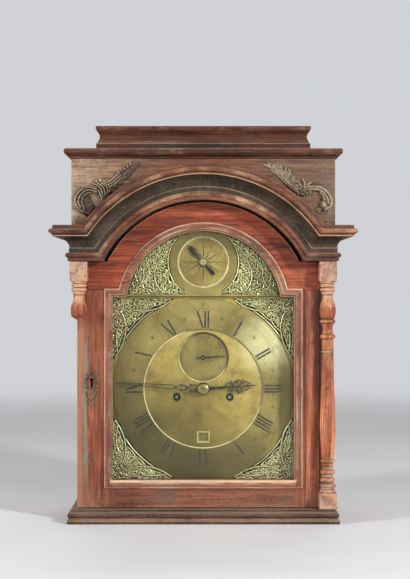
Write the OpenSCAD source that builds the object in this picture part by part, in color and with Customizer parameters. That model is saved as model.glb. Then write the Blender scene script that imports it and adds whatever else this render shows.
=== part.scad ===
// Hood, movement and dial of an eight-day striking wall clock driven by weights.
// +X is to the right, +Y to the back and +Z up. The floor of the case is z = 0.
// Depths are measured back from the door's front face, movement places from the dial centre.

/* [Case] */
// Width across the two sides of the hood
case_w = 410; // [396:1:500]
// Thickness of each side board
side_t = 14; // [10:1:18]
// Room between a side board and the cheek beside it
cheek_room = 13; // [4:1:20]
// Room between the pendulum's suspension and the backboard
back_room = 6; // [2:1:40]
// Thickness of the backboard
backboard_t = 15; // [10:1:22]
// Height of the base moulding
base_h = 22.5; // [20:0.5:30]
// How far the base moulding stands out at the sides
base_side = 14; // [10:1:20]
// How far the base moulding stands in front of the door
base_front = 33; // [30:1:40]
// How far the frieze stands in front of the door's front face
frieze_front = 25; // [24:0.5:30]
// Height of the underside of the frieze
frieze_z = 423; // [415:1:440]
// Height of the frieze board
frieze_h = 165; // [158:1:200]
// Thickness of the front frieze board
frieze_t = 20; // [16:1:22]
// Thickness of the side frieze boards
frieze_side = 7.4; // [5:0.2:10]
// Height of the entablature moulding
mould_h = 57; // [50:1:60]
// How far the entablature moulding stands out from the frieze
mould_proj = 34; // [28:1:38]
// Radius inside the arched moulding
arch_r = 182; // [180:0.5:186]
// Height of the centre of the arched moulding
arch_z = 340; // [338:0.5:344]
// Thickness of the top board
top_t = 16; // [12:1:22]
// How far the top board stands out from the frieze
top_proj = 11.4; // [8:0.2:16]
// Width of the caddy
caddy_w = 350; // [300:1:380]
// Height of the caddy
caddy_h = 40; // [34:1:60]
// Depth of the caddy's front behind the door's front face
caddy_setback = 14; // [5:1:30]

/* [Door] */
// Thickness of the door frame
door_t = 20; // [17:0.5:26]
// Gap between the door's back and the case behind it
door_back_gap = 1; // [0.5:0.1:2]
// Gap above and below the door
door_gap = 0.8; // [0.5:0.1:1.5]
// Radius of the door's arched head
door_arch_r = 174; // [168:0.5:175]
// Width of the glazed opening
light_w = 295.4; // [285:0.2:299]
// Height of the bottom of the glazed opening
light_z = 67.4; // [62:0.2:80]
// Height of the shoulders of the glazed opening
light_shoulder_z = 365; // [355:0.5:375]
// Radius of the arch of the glazed opening
light_arch_r = 127.6; // [120:0.2:129]
// Width of the lip moulding round the glazed opening
lip_w = 13.5; // [8:0.5:16]
// How far the lip moulding stands out of the door
lip_proj = 4; // [2:0.5:6]
// Thickness of the glass
glass_t = 2; // [1.5:0.1:3]
// Depth of the glass rebate, from the door's back
rebate_d = 8; // [5:0.5:8]
// Width of the glass rebate
rebate_w = 7; // [4:0.5:8]
// Distance of the column's axis in front of the door
column_front = 14; // [13:0.5:16]
// Distance of the column's axis in from the case's side
column_in = 4; // [0:0.5:10]
// Size of the square blocks of the column
block_w = 28.4; // [24:0.2:30]
// Radius of the pivot pins in line with the column
hinge_r = 3; // [2:0.1:4]
// Length of the pivot pins
hinge_l = 12; // [8:1:16]
// Height of the keyhole
key_z = 230; // [190:1:260]
// Distance of the keyhole from the case's side
key_in = 23.5; // [22:0.5:26]

/* [Dial] */
// Width of the dial plate
dial_w = 305; // [302:1:309]
// Thickness of the dial plate
dial_t = 2.5; // [2:0.5:3.5]
// Room between the door's back and the dial mask
mask_gap = 2.5; // [1.5:0.1:4]
// Thickness of the dial mask
mask_t = 8; // [5:0.5:12]
// Gap between the dial mask and the dial's face
dial_gap = 1.5; // [0.5:0.1:3]
// How far the mask laps over the dial's edge
mask_lap = 2; // [1:0.5:4]
// Height of the bottom of the dial plate
dial_z = 62; // [58:0.5:64]
// Height of the dial's centre
centre_z = 214; // [210:0.5:218]
// Radius of the dial's arch
dial_arch_r = 132; // [129:0.5:134]
// Height of the centre of the dial's arch, and of the door's arches
dial_arch_z = 345; // [341:0.5:347]
// Outer radius of the chapter ring
ring_ro = 148; // [140:0.5:150]
// Inner radius of the chapter ring
ring_ri = 97.5; // [94:0.5:102]
// Thickness of the chapter ring
ring_t = 1.5; // [1:0.1:2]
// Radius of the seconds dial's opening
seconds_r = 41.8; // [38:0.1:43]
// Radius of the winding holes
wind_hole_r = 6.2; // [5:0.1:7]
// Width of the calendar opening
date_w = 18; // [12:0.5:20]
// Height of the calendar opening
date_h = 15.5; // [10:0.5:16]
// Distance of the calendar opening below the dial's centre
date_drop = 79.6; // [78:0.1:82]
// Height of the small arch dial above the dial's centre
arch_dial_up = 208; // [204:0.5:212]
// Outer radius of the small arch dial
arch_dial_r = 54; // [50:0.5:56]
// Length of the minute hand
minute_l = 145; // [130:1:147]
// Length of the hour hand
hour_l = 88; // [75:1:96]
// Angle of the minute hand at rest, clockwise from twelve
minute_at = 274; // [0:1:359]
// Angle of the hour hand at rest, clockwise from twelve
hour_at = 86; // [0:1:359]
// Angle of the seconds hand at rest, clockwise from twelve
seconds_at = 86; // [0:1:359]
// Angle of the arch hand at rest, clockwise from twelve
arch_at = 318; // [0:1:359]

/* [Movement] */
// Width of the plates
plate_w = 176; // [170:1:184]
// Height of the plates
plate_h = 175; // [172:1:184]
// Thickness of each plate
plate_t = 3; // [2.5:0.1:4]
// Room between the plates
plate_gap = 62; // [60:0.1:76]
// Room between the dial's face and the front plate
dial_room = 40; // [39:0.5:46]
// Reach of the back cock behind the back plate
cock_depth = 32; // [28:1:40]
// Thickness of the back cock
cock_t = 4; // [3:0.5:6]
// Height of the top of the seatboard
seat_z = 130; // [128:0.5:132]
// Thickness of the seatboard
seat_t = 20; // [16:1:26]
// Thickness of the cheeks that carry the seatboard
cheek_t = 18; // [14:1:22]
// Distance of the winding arbors from the centre line
wind_x = 43.5; // [43:0.1:44]
// Distance of the winding arbors below the dial's centre
wind_drop = 14; // [13.5:0.1:14.5]
// Radius of the gut barrels
barrel_r = 17; // [14:0.5:17]
// Radius of the lighter arbors
arbor_r = 1.6; // [1.2:0.1:1.7]
// Radius of the pivots
pivot_r = 0.8; // [0.6:0.05:1]
// Radial clearance of a pivot or pipe in its hole
fit = 0.07; // [0.04:0.01:0.09]
// Running gap between an arbor's shoulders and the plates
shake = 0.3; // [0.2:0.05:0.4]
// Radius of the bell at its rim
bell_r = 42; // [35:0.1:52]
// Thickness of the bell's wall
bell_t = 2.4; // [1.8:0.1:3]

/* [Hidden] */
$fn = 48;

// Colours of the woods and metals
oak = [0.38, 0.13, 0.07];
dark_oak = [0.24, 0.13, 0.09];
pine = [0.5, 0.36, 0.24];
brass = [0.72, 0.6, 0.32];
steel = [0.45, 0.46, 0.48];
blued = [0.12, 0.13, 0.16];

// Depths behind the door's front face, down to the backboard
dial_depth = door_t + mask_gap + mask_t + dial_gap;
plates_depth = 2 * plate_t + plate_gap;
suspension_l = 8;
case_d = dial_depth + dial_room + plates_depth + cock_depth + cock_t + suspension_l + back_room;
slide_gap = 0.3;

// Front to back: the whole object is centred on y = 0
case_depth = mould_proj + frieze_front + case_d + backboard_t;
door_y = mould_proj + frieze_front - case_depth / 2;
frieze_y = door_y - frieze_front;
back_y = door_y + case_d;
hood_back = back_y - slide_gap;
sides_y = door_y + door_t + door_back_gap;
half_w = case_w / 2;
frieze_w = half_w + frieze_side;
frieze_top = frieze_z + frieze_h;
top_z = frieze_top + top_t;

// Door, glass and columns
door_z = base_h + door_gap;
door_top = frieze_z - door_gap;
column_x = half_w - column_in;
column_y = door_y - column_front;
pin_bore_r = hinge_r + fit;
glass_y = door_y + door_t - rebate_d;
key_x = -half_w + key_in;

// Dial, mask and movement
dial_y = door_y + dial_depth;
dial_shoulder_z = dial_z + dial_w;
dial_back = dial_y + dial_t;
mask_y = dial_y - dial_gap - mask_t;
front_y = dial_y + dial_room;
plates_y = front_y + plate_t;
rear_y = plates_y + plate_gap;
rear_back = rear_y + plate_t;
cock_y = rear_back + cock_depth;
cheek_x = half_w - side_t - cheek_room - cheek_t;
seat_y = front_y - 14;

// Arbor places, from the dial's centre
third_at = [10.3, 25.5];
escape_at = [0, 51];
pallet_at = [0, 78];
pin_at = [-38, 27];
gather_at = [-30, 53];
warn_at = [-44, 68.4];
fly_at = [-30, 77];
hammer_at = [-66, 60];
minute_wheel_at = [0, -32];
date_wheel_at = [0, -45];
rack_at = [-62, 10];
hook_at = [-78, 68];
lift_at = [-80, 30];
wind_at = [wind_x, -wind_drop];
strike_at = [-wind_x, -wind_drop];
pillar_at = [[-76, -74], [76, -74], [-72, 82], [72, 82]];
foot_at = [[-80, -56], [80, -56], [-83, 84], [83, 84]];

// Teeth of the trains
great_n = 96;
centre_n = 60;
third_n = 56;
escape_n = 30;
strike_n = 84;
pin_n = 64;
gather_n = 56;
warn_n = 48;
pinion_n = 8;
escape_pinion_n = 7;
fly_pinion_n = 6;
cannon_n = 40;
hour_n = 72;
hour_pinion_n = 6;
date_n = 60;
date_pinion_n = 30;
ring_n = 31;
escape_r = 19;

// Depths between the plates, from the front plate's back face
great_u = plate_gap - 12;
centre_u = 15;
third_u = 40;
escape_u = 28;
pin_u = 5;
gather_u = 20;
warn_u = 34;
fly_u = 44;
hammer_u = 26;
barrel_u = 13;
wheel_t = 2.5;
great_t = 3;

// Depths in front of the front plate, from its front face
motion_v = 4;
bridge_v = 7.4;
hour_v = 10;
rack_v = 15;
date_v = 23;
hour_hand_y = dial_y - 6.5;
minute_hand_y = dial_y - 12;
hand_t = 1.5;

// Radii of the pipes round the centre arbor
post_r = 1.8;
cannon_r = 3.4;
bridge_ri = cannon_r + fit;
bridge_ro = 4.6;
hour_ri = bridge_ro + fit;
hour_ro = 5.8;

// Solid between two depths, from an outline in x and z
module slab(y0, y1) {
    translate([0, y1, 0]) rotate([90, 0, 0]) linear_extrude(y1 - y0) children();
}

// Solid between two places across the width, from an outline in y and z
module across(x0, x1) {
    translate([x0, 0, 0]) rotate([90, 0, 90]) linear_extrude(x1 - x0) children();
}

// Rod along the depth at a place in x and z
module rod(x, z, y0, y1, r) {
    translate([x, y1, z]) rotate([90, 0, 0]) cylinder(h = y1 - y0, r = r);
}

// Rod at an arbor's place
module axle(at, y0, y1, r) {
    rod(at[0], centre_z + at[1], y0, y1, r);
}

// Moves an outline or a piece to an arbor's place
module at_arbor(at) {
    translate([at[0], centre_z + at[1]]) children();
}

// Box from its lowest and highest corners
module block(a, b) {
    translate(a) cube(b - a);
}

// Angle of the line from one arbor to another
function towards(a, b) = atan2(b[1] - a[1], b[0] - a[0]);
function apart(a, b) = norm(b - a);
// Pitch radius of the first of two wheels in mesh
function pitch_r(a, b, n, m) = apart(a, b) * n / (n + m);

// Outline of a toothed wheel with one tooth on the ray at angle a.
// Each row of the shape is a height in modules and a half width in pitches.
function gear_points(n, r, shape, a) = [
    for (i = [0 : n - 1], s = shape)
        let (t = a + (i + s[1]) * 360 / n, q = r + s[0] * 2 * r / n)
        [q * cos(t), q * sin(t)]];
wheel_tooth = [[-0.9, -0.29], [0, -0.2], [0.8, -0.07], [0.8, 0.07], [0, 0.2], [-0.9, 0.29]];
leaf_tooth = [[-1.15, -0.12], [0, -0.14], [0.6, -0.07], [0.6, 0.07], [0, 0.14], [-1.15, 0.12]];
motion_tooth = [[-1.05, -0.27], [0, -0.19], [0.8, -0.07], [0.8, 0.07], [0, 0.19], [-1.05, 0.27]];

// Wheel with a rim, four arms and a boss
module wheel_outline(n, r, shape, a, rim = 2.4, boss = 4, arm = 2.6) {
    root = r - 2 * r / n;
    difference() {
        polygon(gear_points(n, r, shape, a));
        circle(r = root - rim);
    }
    circle(r = boss);
    for (i = [0 : 3]) rotate(i * 90 + a) translate([boss - 1, -arm / 2])
        square([root - rim - boss + 1.6, arm]);
}

// Arbor between the plates with its two pivots
module arbor(at, r = arbor_r) {
    axle(at, plates_y + shake, rear_y - shake, r);
    axle(at, front_y + 0.2, rear_back - 0.2, pivot_r);
}

// Pinion at a depth between the plates, with a leaf gap on the ray at angle a
module pinion(at, n, r, a, u0, u1) {
    slab(plates_y + u0, plates_y + u1) at_arbor(at)
        polygon(gear_points(n, r, leaf_tooth, a + 180 / n));
}

// Moulding profiles: rows of projection and height, from the bottom up
function arc(c, rx, ry, a0, a1, n = 8) =
    [for (i = [0 : n]) let (t = a0 + (a1 - a0) * i / n) [c[0] + rx * cos(t), c[1] + ry * sin(t)]];
function scaled(points, p, h) = [for (q = points) [q[0] * p, q[1] * h]];

// The entablature's profile in shares of its projection and height:
// fillet, bead, fillet, deep cove, fillet, ovolo and top fillet
ent_profile = scaled(concat(
    [[0.165, 0], [0.165, 0.08]],
    arc([0.15, 0.16], 0.115, 0.072, -90, 90),
    [[0.105, 0.235], [0.105, 0.37]],
    arc([0.8, 0.37], 0.715, 0.31, 180, 90, 12),
    [[0.85, 0.69], [0.85, 0.755]],
    arc([0.88, 0.83], 0.12, 0.07, -90, 90),
    [[0.82, 0.905], [0.82, 1]]), mould_proj, mould_h);
// The base moulding's profile: bottom fillet, groove, torus and top fillet
base_profile = scaled(concat(
    [[1, 0], [1, 0.26], [0.8, 0.28], [0.8, 0.38]],
    arc([0.55, 0.62], 0.4, 0.23, -80, 80),
    [[0.5, 0.88], [0.5, 1]]), base_side, base_h);
// The top board's profile: small ogee below a rounded edge
top_profile = scaled(concat(
    [[0.25, 0]], arc([0.9, 0], 0.65, 0.36, 180, 100, 6),
    arc([0.72, 0.68], 0.28, 0.3, -70, 90)), top_proj, top_t);
// The caddy's profile: base band, fillet, hollow and lip
caddy_profile = scaled(concat(
    [[0, 0], [0, 0.3], [-0.5, 0.32], [-0.5, 0.36]],
    arc([0.3, 0.56], 1.4, 0.22, 205, 140, 6),
    [[-0.3, 0.8], [0, 0.84]], arc([-0.1, 0.92], 0.3, 0.06, -60, 60, 5), [[0, 1]]), 5, caddy_h);

// Board with a moulding on its front and both sides, mitred at the corners
module moulded(profile, w, y0, y1) {
    n = len(profile) - 1;
    intersection() {
        across(-w * 2, w * 2) polygon(concat([for (q = profile) [y0 - q[0], q[1]]],
            [[y1, profile[n][1]], [y1, profile[0][1]]]));
        slab(y0 - w, y1 + w) polygon(concat([for (q = profile) [w + q[0], q[1]]],
            [for (i = [n : -1 : 0]) [-w - profile[i][0], profile[i][1]]]));
    }
}

// Half chord of a circle at a height above its centre
function chord(r, h) = sqrt(r * r - h * h);

// Outline of an arched opening or board, grown by g all round
module arched(w, z0, z1, r, zc, g = 0) {
    translate([-w / 2 - g, z0 - g]) square([w + 2 * g, z1 - z0 + 2 * g]);
    intersection() {
        translate([0, zc]) circle(r = r + g, $fn = 96);
        translate([-r - g, z1 - 1]) square([2 * (r + g), r + g + zc - z1 + 1]);
    }
}

// Backboard with the hole for its wall hook; the hood's sides and top stand past it
hook_r = 6;
hook_drop = 30;
board_in = 2;
board_drop = 3;
module backboard() color(pine) difference() {
    block([-half_w + board_in, back_y, 0],
        [half_w - board_in, back_y + backboard_t, frieze_top - board_drop]);
    rod(0, frieze_top - hook_drop, back_y - 1, back_y + backboard_t + 1, hook_r);
}

module cheeks() color(pine) for (s = [-1, 1])
    translate([s * (cheek_x + cheek_t / 2) - cheek_t / 2, seat_y, 0])
        cube([cheek_t, back_y - seat_y, seat_z - seat_t]);

// The lines of the two weights hang outside the barrels, and the pendulum behind the plates
line_x = wind_x + barrel_r;
line_room = 7;
line_end = 8;
rod_room = 14;
module seatboard() color(pine) difference() {
    block([-cheek_x - cheek_t, seat_y, seat_z - seat_t], [cheek_x + cheek_t, back_y, seat_z]);
    for (s = [-1, 1])
        block([s * line_x - line_room, plates_y + line_end, seat_z - seat_t - 1],
            [s * line_x + line_room, rear_y - line_end, seat_z + 1]);
    block([-rod_room, rear_back + 4, seat_z - seat_t - 1],
        [rod_room, back_y - line_end, seat_z + 1]);
    for (i = [0, 1]) translate([pillar_at[i][0], (plates_y + rear_y) / 2, seat_z - seat_t - 1])
        cylinder(h = seat_t + 2, r = bolt_r + fit);
}

bolt_r = 2.5;
pillar_r = 5;
pillar_neck_r = 3;
module seatboard_bolts() color(steel) for (i = [0, 1])
    translate([pillar_at[i][0], (plates_y + rear_y) / 2, 0]) {
        low = seat_z - seat_t - 12;
        high = centre_z + pillar_at[i][1];
        translate([0, 0, low]) cylinder(h = high - pillar_r - 1 - low, r = bolt_r);
        translate([0, 0, seat_z - seat_t - 5]) cylinder(h = 5, r = 7, $fn = 6);
        translate([0, 3, high]) rotate([90, 0, 0]) difference() {
            cylinder(h = 6, r = pillar_r + 2.5);
            translate([0, 0, -1]) cylinder(h = 8, r = pillar_r + fit);
            translate([2, 0, -1]) cube([20, 20, 8]);
        }
    }

// Outline of the front and back plates
module plate_outline() {
    translate([-plate_w / 2, seat_z]) square([plate_w, plate_h]);
}

module pivot_holes(y0, y1) {
    for (p = [third_at, escape_at, pin_at, gather_at, warn_at, fly_at, hammer_at])
        axle(p, y0, y1, pivot_r + fit);
}

winding_r = 4;
stud_r = 2;
module front_plate() color(brass) {
    difference() {
        slab(front_y, plates_y) plate_outline();
        for (p = [third_at, pin_at, warn_at, fly_at, hammer_at, pallet_at])
            axle(p, front_y - 1, plates_y + 1, pivot_r + fit);
        axle(escape_at, front_y - 1, plates_y + 1, seconds_post_r + fit);
        axle(gather_at, front_y - 1, plates_y + 1, gather_post_r + fit);
        axle([0, 0], front_y - 1, plates_y + 1, post_r + fit);
        for (p = [wind_at, strike_at]) axle(p, front_y - 1, plates_y + 1, winding_r + fit);
        for (p = pillar_at) axle(p, front_y - 1, plates_y + 1, pillar_neck_r);
        for (p = foot_at) axle(p, front_y - 1, plates_y + 1, foot_r);
    }
    axle(rack_at, front_y - rack_v - 3.5, front_y, stud_r);
    axle(hook_at, front_y - rack_v - 3.5, front_y, stud_r);
    axle(lift_at, front_y - hour_v, front_y, stud_r);
    axle(minute_wheel_at, front_y - rack_v - 2, front_y, pivot_r);
}
seconds_post_r = 1.2;
gather_post_r = 1.4;
foot_r = 3;

module back_plate() color(brass) difference() {
    slab(rear_y, rear_back) plate_outline();
    pivot_holes(rear_y - 1, rear_back + 1);
    axle([0, 0], rear_y - 1, rear_back + 1, pivot_r + fit);
    for (p = [wind_at, strike_at]) axle(p, rear_y - 1, rear_back + 1, 2.5 + fit);
    for (p = pillar_at) axle(p, rear_y - 1, rear_back + 1, pillar_neck_r);
    axle(pallet_at, rear_y - 1, rear_back + 1, 8);
}

// Turned pillars, riveted at the back and pinned in front
module plate_pillars() color(brass) for (p = pillar_at) {
    axle(p, plates_y, rear_y, pillar_r - 1);
    axle(p, front_y - 5, rear_back + 1, pillar_neck_r);
    for (y = [plates_y, rear_y - 4]) axle(p, y, y + 4, pillar_r);
    axle(p, (plates_y + rear_y) / 2 - 5, (plates_y + rear_y) / 2 + 5, pillar_r);
    translate([p[0] - 6, front_y - 1, centre_z + p[1]]) rotate([0, 90, 0])
        cylinder(h = 12, r = 0.9);
}

// Bridge on the back plate that carries the pallets' pivot and the pendulum's suspension
cock_w = 26;
module back_cock() color(brass) difference() {
    union() {
        block([-cock_w - 8, cock_y, centre_z + pallet_at[1] - 8],
            [cock_w + 8, cock_y + cock_t, centre_z + pallet_at[1] + 12]);
        for (s = [-1, 1]) block([s * cock_w - 8, rear_back, centre_z + pallet_at[1] - 8],
            [s * cock_w + 8, cock_y, centre_z + pallet_at[1] + 8]);
        block([-6, cock_y + cock_t, centre_z + pallet_at[1] + 3],
            [6, cock_y + cock_t + suspension_l, centre_z + pallet_at[1] + 12]);
    }
    axle(pallet_at, cock_y - 1, cock_y + cock_t + 1, pivot_r + fit);
    block([-0.6, cock_y + cock_t, centre_z + pallet_at[1]],
        [0.6, cock_y + cock_t + suspension_l + 1, centre_z + pallet_at[1] + 13]);
}

date_ring_ri = 70;
date_ring_ro = date_drop + date_h / 2 + 4.6;
clip_r = 3;
clip_head = 2;
clip_at = date_ring_ro + shake + clip_r;
disc_t = 1.5;
ring_gap = 0.5;
pipe_room = 2;
module dial_plate() color(brass) {
    difference() {
        slab(dial_y, dial_back)
            arched(dial_w, dial_z, dial_shoulder_z, dial_arch_r, dial_arch_z);
        axle([0, 0], dial_y - 1, dial_back + 1, hour_ro + pipe_room);
        axle(escape_at, dial_y - 1, dial_back + 1, seconds_r);
        for (p = [wind_at, strike_at]) axle(p, dial_y - 1, dial_back + 1, wind_hole_r);
        axle([0, arch_dial_up], dial_y - 1, dial_back + 1, arch_post_r + fit);
        block([-date_w / 2, dial_y - 1, centre_z - date_drop - date_h / 2],
            [date_w / 2, dial_back + 1, centre_z - date_drop + date_h / 2]);
    }
    for (p = foot_at) {
        axle(p, dial_back, plates_y + 4, foot_r);
        axle(p, dial_back, front_y, foot_r + 1.5);
    }
    for (i = [0 : 3]) ring_clip(45 + 90 * i);
    axle(date_wheel_at, dial_back, front_y - date_v + 5, stud_r);
}
// Headed stud on the dial's back that keeps the calendar ring in its place
module ring_clip(a) {
    p = clip_at * [cos(a), sin(a)];
    head_y = date_ring_y + disc_t + shake;
    axle(p, dial_back, head_y + clip_head, clip_r);
    axle(p, head_y, head_y + clip_head, 2 * clip_r);
}
date_ring_y = dial_back + disc_t + ring_gap;

module chapter_ring() color([0.75, 0.66, 0.4]) slab(dial_y - ring_t, dial_y)
    translate([0, centre_z]) difference() {
        circle(r = ring_ro, $fn = 180);
        circle(r = ring_ri, $fn = 120);
    }

// Sunk disc behind the dial's opening
module seconds_dial() color(brass) difference() {
    axle(escape_at, dial_back, dial_back + disc_t, seconds_r + 3);
    axle(escape_at, dial_back - 1, dial_back + disc_t + 1, seconds_post_r + 1);
    axle([0, 0], dial_back - 1, dial_back + disc_t + 1, hour_ro + pipe_room);
}

arch_post_r = 2;
module arch_ring() color([0.75, 0.66, 0.4]) slab(dial_y - 1.2, dial_y)
    translate([0, centre_z + arch_dial_up]) difference() {
        circle(r = arch_dial_r, $fn = 96);
        circle(r = arch_ring_ri, $fn = 96);
    }

// Cast ornament in the four corners, outside the chapter ring
spandrel_t = 3;
module corner_spandrels() color([0.7, 0.6, 0.36]) slab(dial_y - spandrel_t, dial_y)
    translate([0, centre_z]) for (sx = [-1, 1], sz = [-1, 1]) scale([sx, sz])
        difference() {
            polygon([[spandrel_from, spandrel_low], [spandrel_side, spandrel_low],
                [spandrel_side, spandrel_from]]);
            circle(r = ring_ro + ring_room, $fn = 120);
        }
spandrel_from = 48;
spandrel_in = 4;
spandrel_side = dial_w / 2 - spandrel_in;
spandrel_low = centre_z - dial_z - spandrel_in;
ring_room = 1.5;
arch_ring_ri = 41;

module arch_spandrels() color([0.7, 0.6, 0.36]) slab(dial_y - spandrel_t, dial_y)
    for (s = [-1, 1]) difference() {
        intersection() {
            translate([0, dial_arch_z]) circle(r = dial_arch_r - 5, $fn = 96);
            translate([s > 0 ? 30 : -130, centre_z + ring_ro + 7]) square([100, 95]);
        }
        translate([0, centre_z + arch_dial_up]) circle(r = arch_dial_r + ring_room, $fn = 96);
    }

// Bell on a post over the plates
bell_x = 12;
bell_y = plates_y + hammer_u + 1.5;
rim_z = centre_z + 112;
bell_h = 36;
bell_hole = 3;
// The bell's curve stops at this angle, where its flat crown starts
crown_a = 79;
crown_out = bell_h * sin(crown_a);
crown_in = (bell_h - bell_t) * sin(crown_a);
module bell_stand() color(steel) {
    translate([bell_x, bell_y, rim_z - 14]) cylinder(h = crown_out + 24, r = bell_hole - fit);
    translate([bell_x, bell_y, rim_z - 14]) cylinder(h = 14 + crown_in, r = bell_hole + 2);
    translate([bell_x, bell_y, rim_z + crown_out]) cylinder(h = 4, r = 6, $fn = 6);
    block([bell_x - 6, bell_y - 6, rim_z - 17], [bell_x + 6, rear_back + 3, rim_z - 14]);
    block([bell_x - 6, rear_back, rim_z - 47], [bell_x + 6, rear_back + 3, rim_z - 14]);
    rod(bell_x, rim_z - 42, rear_back + 3, rear_back + 5.5, 4);
}

// Bell of an even wall, with a flat crown round the post
module bell() color([0.6, 0.55, 0.42]) translate([bell_x, bell_y, rim_z])
    rotate_extrude($fn = 96) polygon(concat(
        arc([0, 0], bell_r, bell_h, 0, crown_a, 14), [[bell_hole, crown_out]],
        [[bell_hole, crown_in]],
        arc([0, 0], bell_r - bell_t, bell_h - bell_t, crown_a, 0, 14)));

module hour_bridge() color(brass) difference() {
    union() {
        block([-30, front_y - bridge_v - 1.6, centre_z - 5],
            [30, front_y - bridge_v, centre_z + 5]);
        for (s = [-1, 1]) block([s * 26 - 4, front_y - bridge_v, centre_z - 4],
            [s * 26 + 4, front_y, centre_z + 4]);
        axle([0, 0], front_y - 32, front_y - bridge_v, bridge_ro);
    }
    axle([0, 0], front_y - 33, front_y, bridge_ri);
}

// Blade screwed to the back plate, just beside the hammer's stem
hammer_clear = 0.4;
module hammer_spring() color(steel) {
    block([-86, rear_y - 3, centre_z + 20], [-79, rear_y, centre_z + 32]);
    block([-82, plates_y + hammer_u - 2, centre_z + 20], [-80, rear_y - 3, centre_z + 32]);
    block([-82, plates_y + hammer_u - 2, centre_z + 32],
        [-80.5, plates_y + hammer_u + 5, centre_z + 52]);
}

going_r = pitch_r(wind_at, [0, 0], great_n, pinion_n);
module centre_wheel() color(brass) {
    pinion([0, 0], pinion_n, pitch_r([0, 0], wind_at, pinion_n, great_n),
        towards([0, 0], wind_at), great_u - 4, great_u + 7);
    slab(plates_y + centre_u, plates_y + centre_u + wheel_t) at_arbor([0, 0])
        wheel_outline(centre_n, pitch_r([0, 0], third_at, centre_n, pinion_n), wheel_tooth,
            towards([0, 0], third_at));
    axle([0, 0], plates_y + shake, rear_y - shake, arbor_r);
    axle([0, 0], rear_y - 1, rear_back - 0.2, pivot_r);
    axle([0, 0], minute_hand_y - 3.5, plates_y + 1, post_r);
}

cannon_pitch = pitch_r([0, 0], minute_wheel_at, cannon_n, cannon_n);
module cannon_wheel() color(brass) {
    slab(front_y - motion_v - 2, front_y - motion_v) at_arbor([0, 0]) difference() {
        wheel_outline(cannon_n, cannon_pitch, motion_tooth, towards([0, 0], minute_wheel_at),
            boss = 6);
        circle(r = post_r);
    }
    slab(minute_hand_y + hand_t, front_y - motion_v) at_arbor([0, 0]) difference() {
        circle(r = cannon_r);
        circle(r = post_r);
    }
}

// Pointer outline along +X, with pierced scrollwork near the centre
module pointer(l, hub, w, scroll0, scroll1) {
    difference() {
        union() {
            circle(r = hub);
            polygon([[0, -w], [scroll1, -w * 0.7], [l, -0.4], [l, 0.4], [scroll1, w * 0.7],
                [0, w]]);
            for (x = [scroll0 : (scroll1 - scroll0) / 3 : scroll1], s = [-1, 1])
                translate([x, s * w * 1.5]) circle(r = w * 1.6);
        }
        for (x = [scroll0 : (scroll1 - scroll0) / 3 : scroll1], s = [-1, 1])
            translate([x, s * w * 1.7]) circle(r = w * 0.8);
        circle(r = hub - 2.4);
    }
}

module hand(at, y, angle, l, hub, w, s0, s1, bore) {
    slab(y, y + hand_t) at_arbor(at) difference() {
        union() {
            rotate(90 - angle) pointer(l, hub, w, s0, s1);
            circle(r = hub - 1.2);
        }
        circle(r = bore);
    }
}

module minute_hand() color(blued)
    hand([0, 0], minute_hand_y, minute_at, minute_l, 8, 2, 16, 58, post_r);

// Domed collet and its pin in front of the minute hand
module hand_collet() color(brass) difference() {
    union() {
        axle([0, 0], minute_hand_y - 1.2, minute_hand_y, 6.5);
        axle([0, 0], minute_hand_y - 2.4, minute_hand_y - 1.2, 4.5);
        translate([-6, minute_hand_y - 2.9, centre_z]) rotate([0, 90, 0])
            cylinder(h = 12, r = 0.6);
    }
    axle([0, 0], minute_hand_y - 5, minute_hand_y + 1, post_r);
}

hour_pitch = pitch_r([0, 0], minute_wheel_at, hour_n, hour_pinion_n);
snail_r = 26;
module hour_wheel() color(brass) difference() {
    union() {
        slab(front_y - hour_v - 2, front_y - hour_v) at_arbor([0, 0])
            wheel_outline(hour_n, hour_pitch, wheel_tooth, towards([0, 0], minute_wheel_at),
                boss = 9);
        slab(front_y - hour_v - 3.5, front_y - hour_v - 2) at_arbor([0, 0])
            polygon([for (i = [0 : 11], k = [0, 1])
                let (t = 175 - hour_at + 30 * (i + k), r = snail_r - 1.4 * i)
                [r * cos(t), r * sin(t)]]);
        slab(front_y - date_v - 3, front_y - date_v) at_arbor([0, 0])
            polygon(gear_points(date_pinion_n,
                pitch_r([0, 0], date_wheel_at, date_pinion_n, date_n), motion_tooth,
                towards([0, 0], date_wheel_at) + 180 / date_pinion_n));
        axle([0, 0], hour_hand_y, front_y - hour_v, hour_ro);
    }
    axle([0, 0], hour_hand_y - 1, front_y, hour_ri);
}

module hour_hand() color(blued)
    hand([0, 0], hour_hand_y, hour_at, hour_l, 10.5, 2.6, 22, 62, hour_ro);

module minute_wheel() color(brass) difference() {
    union() {
        slab(front_y - motion_v - 2, front_y - motion_v) at_arbor(minute_wheel_at)
            wheel_outline(cannon_n, cannon_pitch, motion_tooth,
                towards(minute_wheel_at, [0, 0]) + 180 / cannon_n);
        slab(front_y - hour_v - 4, front_y - motion_v) at_arbor(minute_wheel_at)
            polygon(gear_points(hour_pinion_n,
                pitch_r(minute_wheel_at, [0, 0], hour_pinion_n, hour_n), leaf_tooth,
                towards(minute_wheel_at, [0, 0]) + 180 / hour_pinion_n));
        axle([minute_wheel_at[0], minute_wheel_at[1] - 12], front_y - motion_v - 4.5,
            front_y - motion_v, 1);
    }
    axle(minute_wheel_at, front_y - hour_v - 5, front_y, pivot_r + fit);
}

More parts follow.
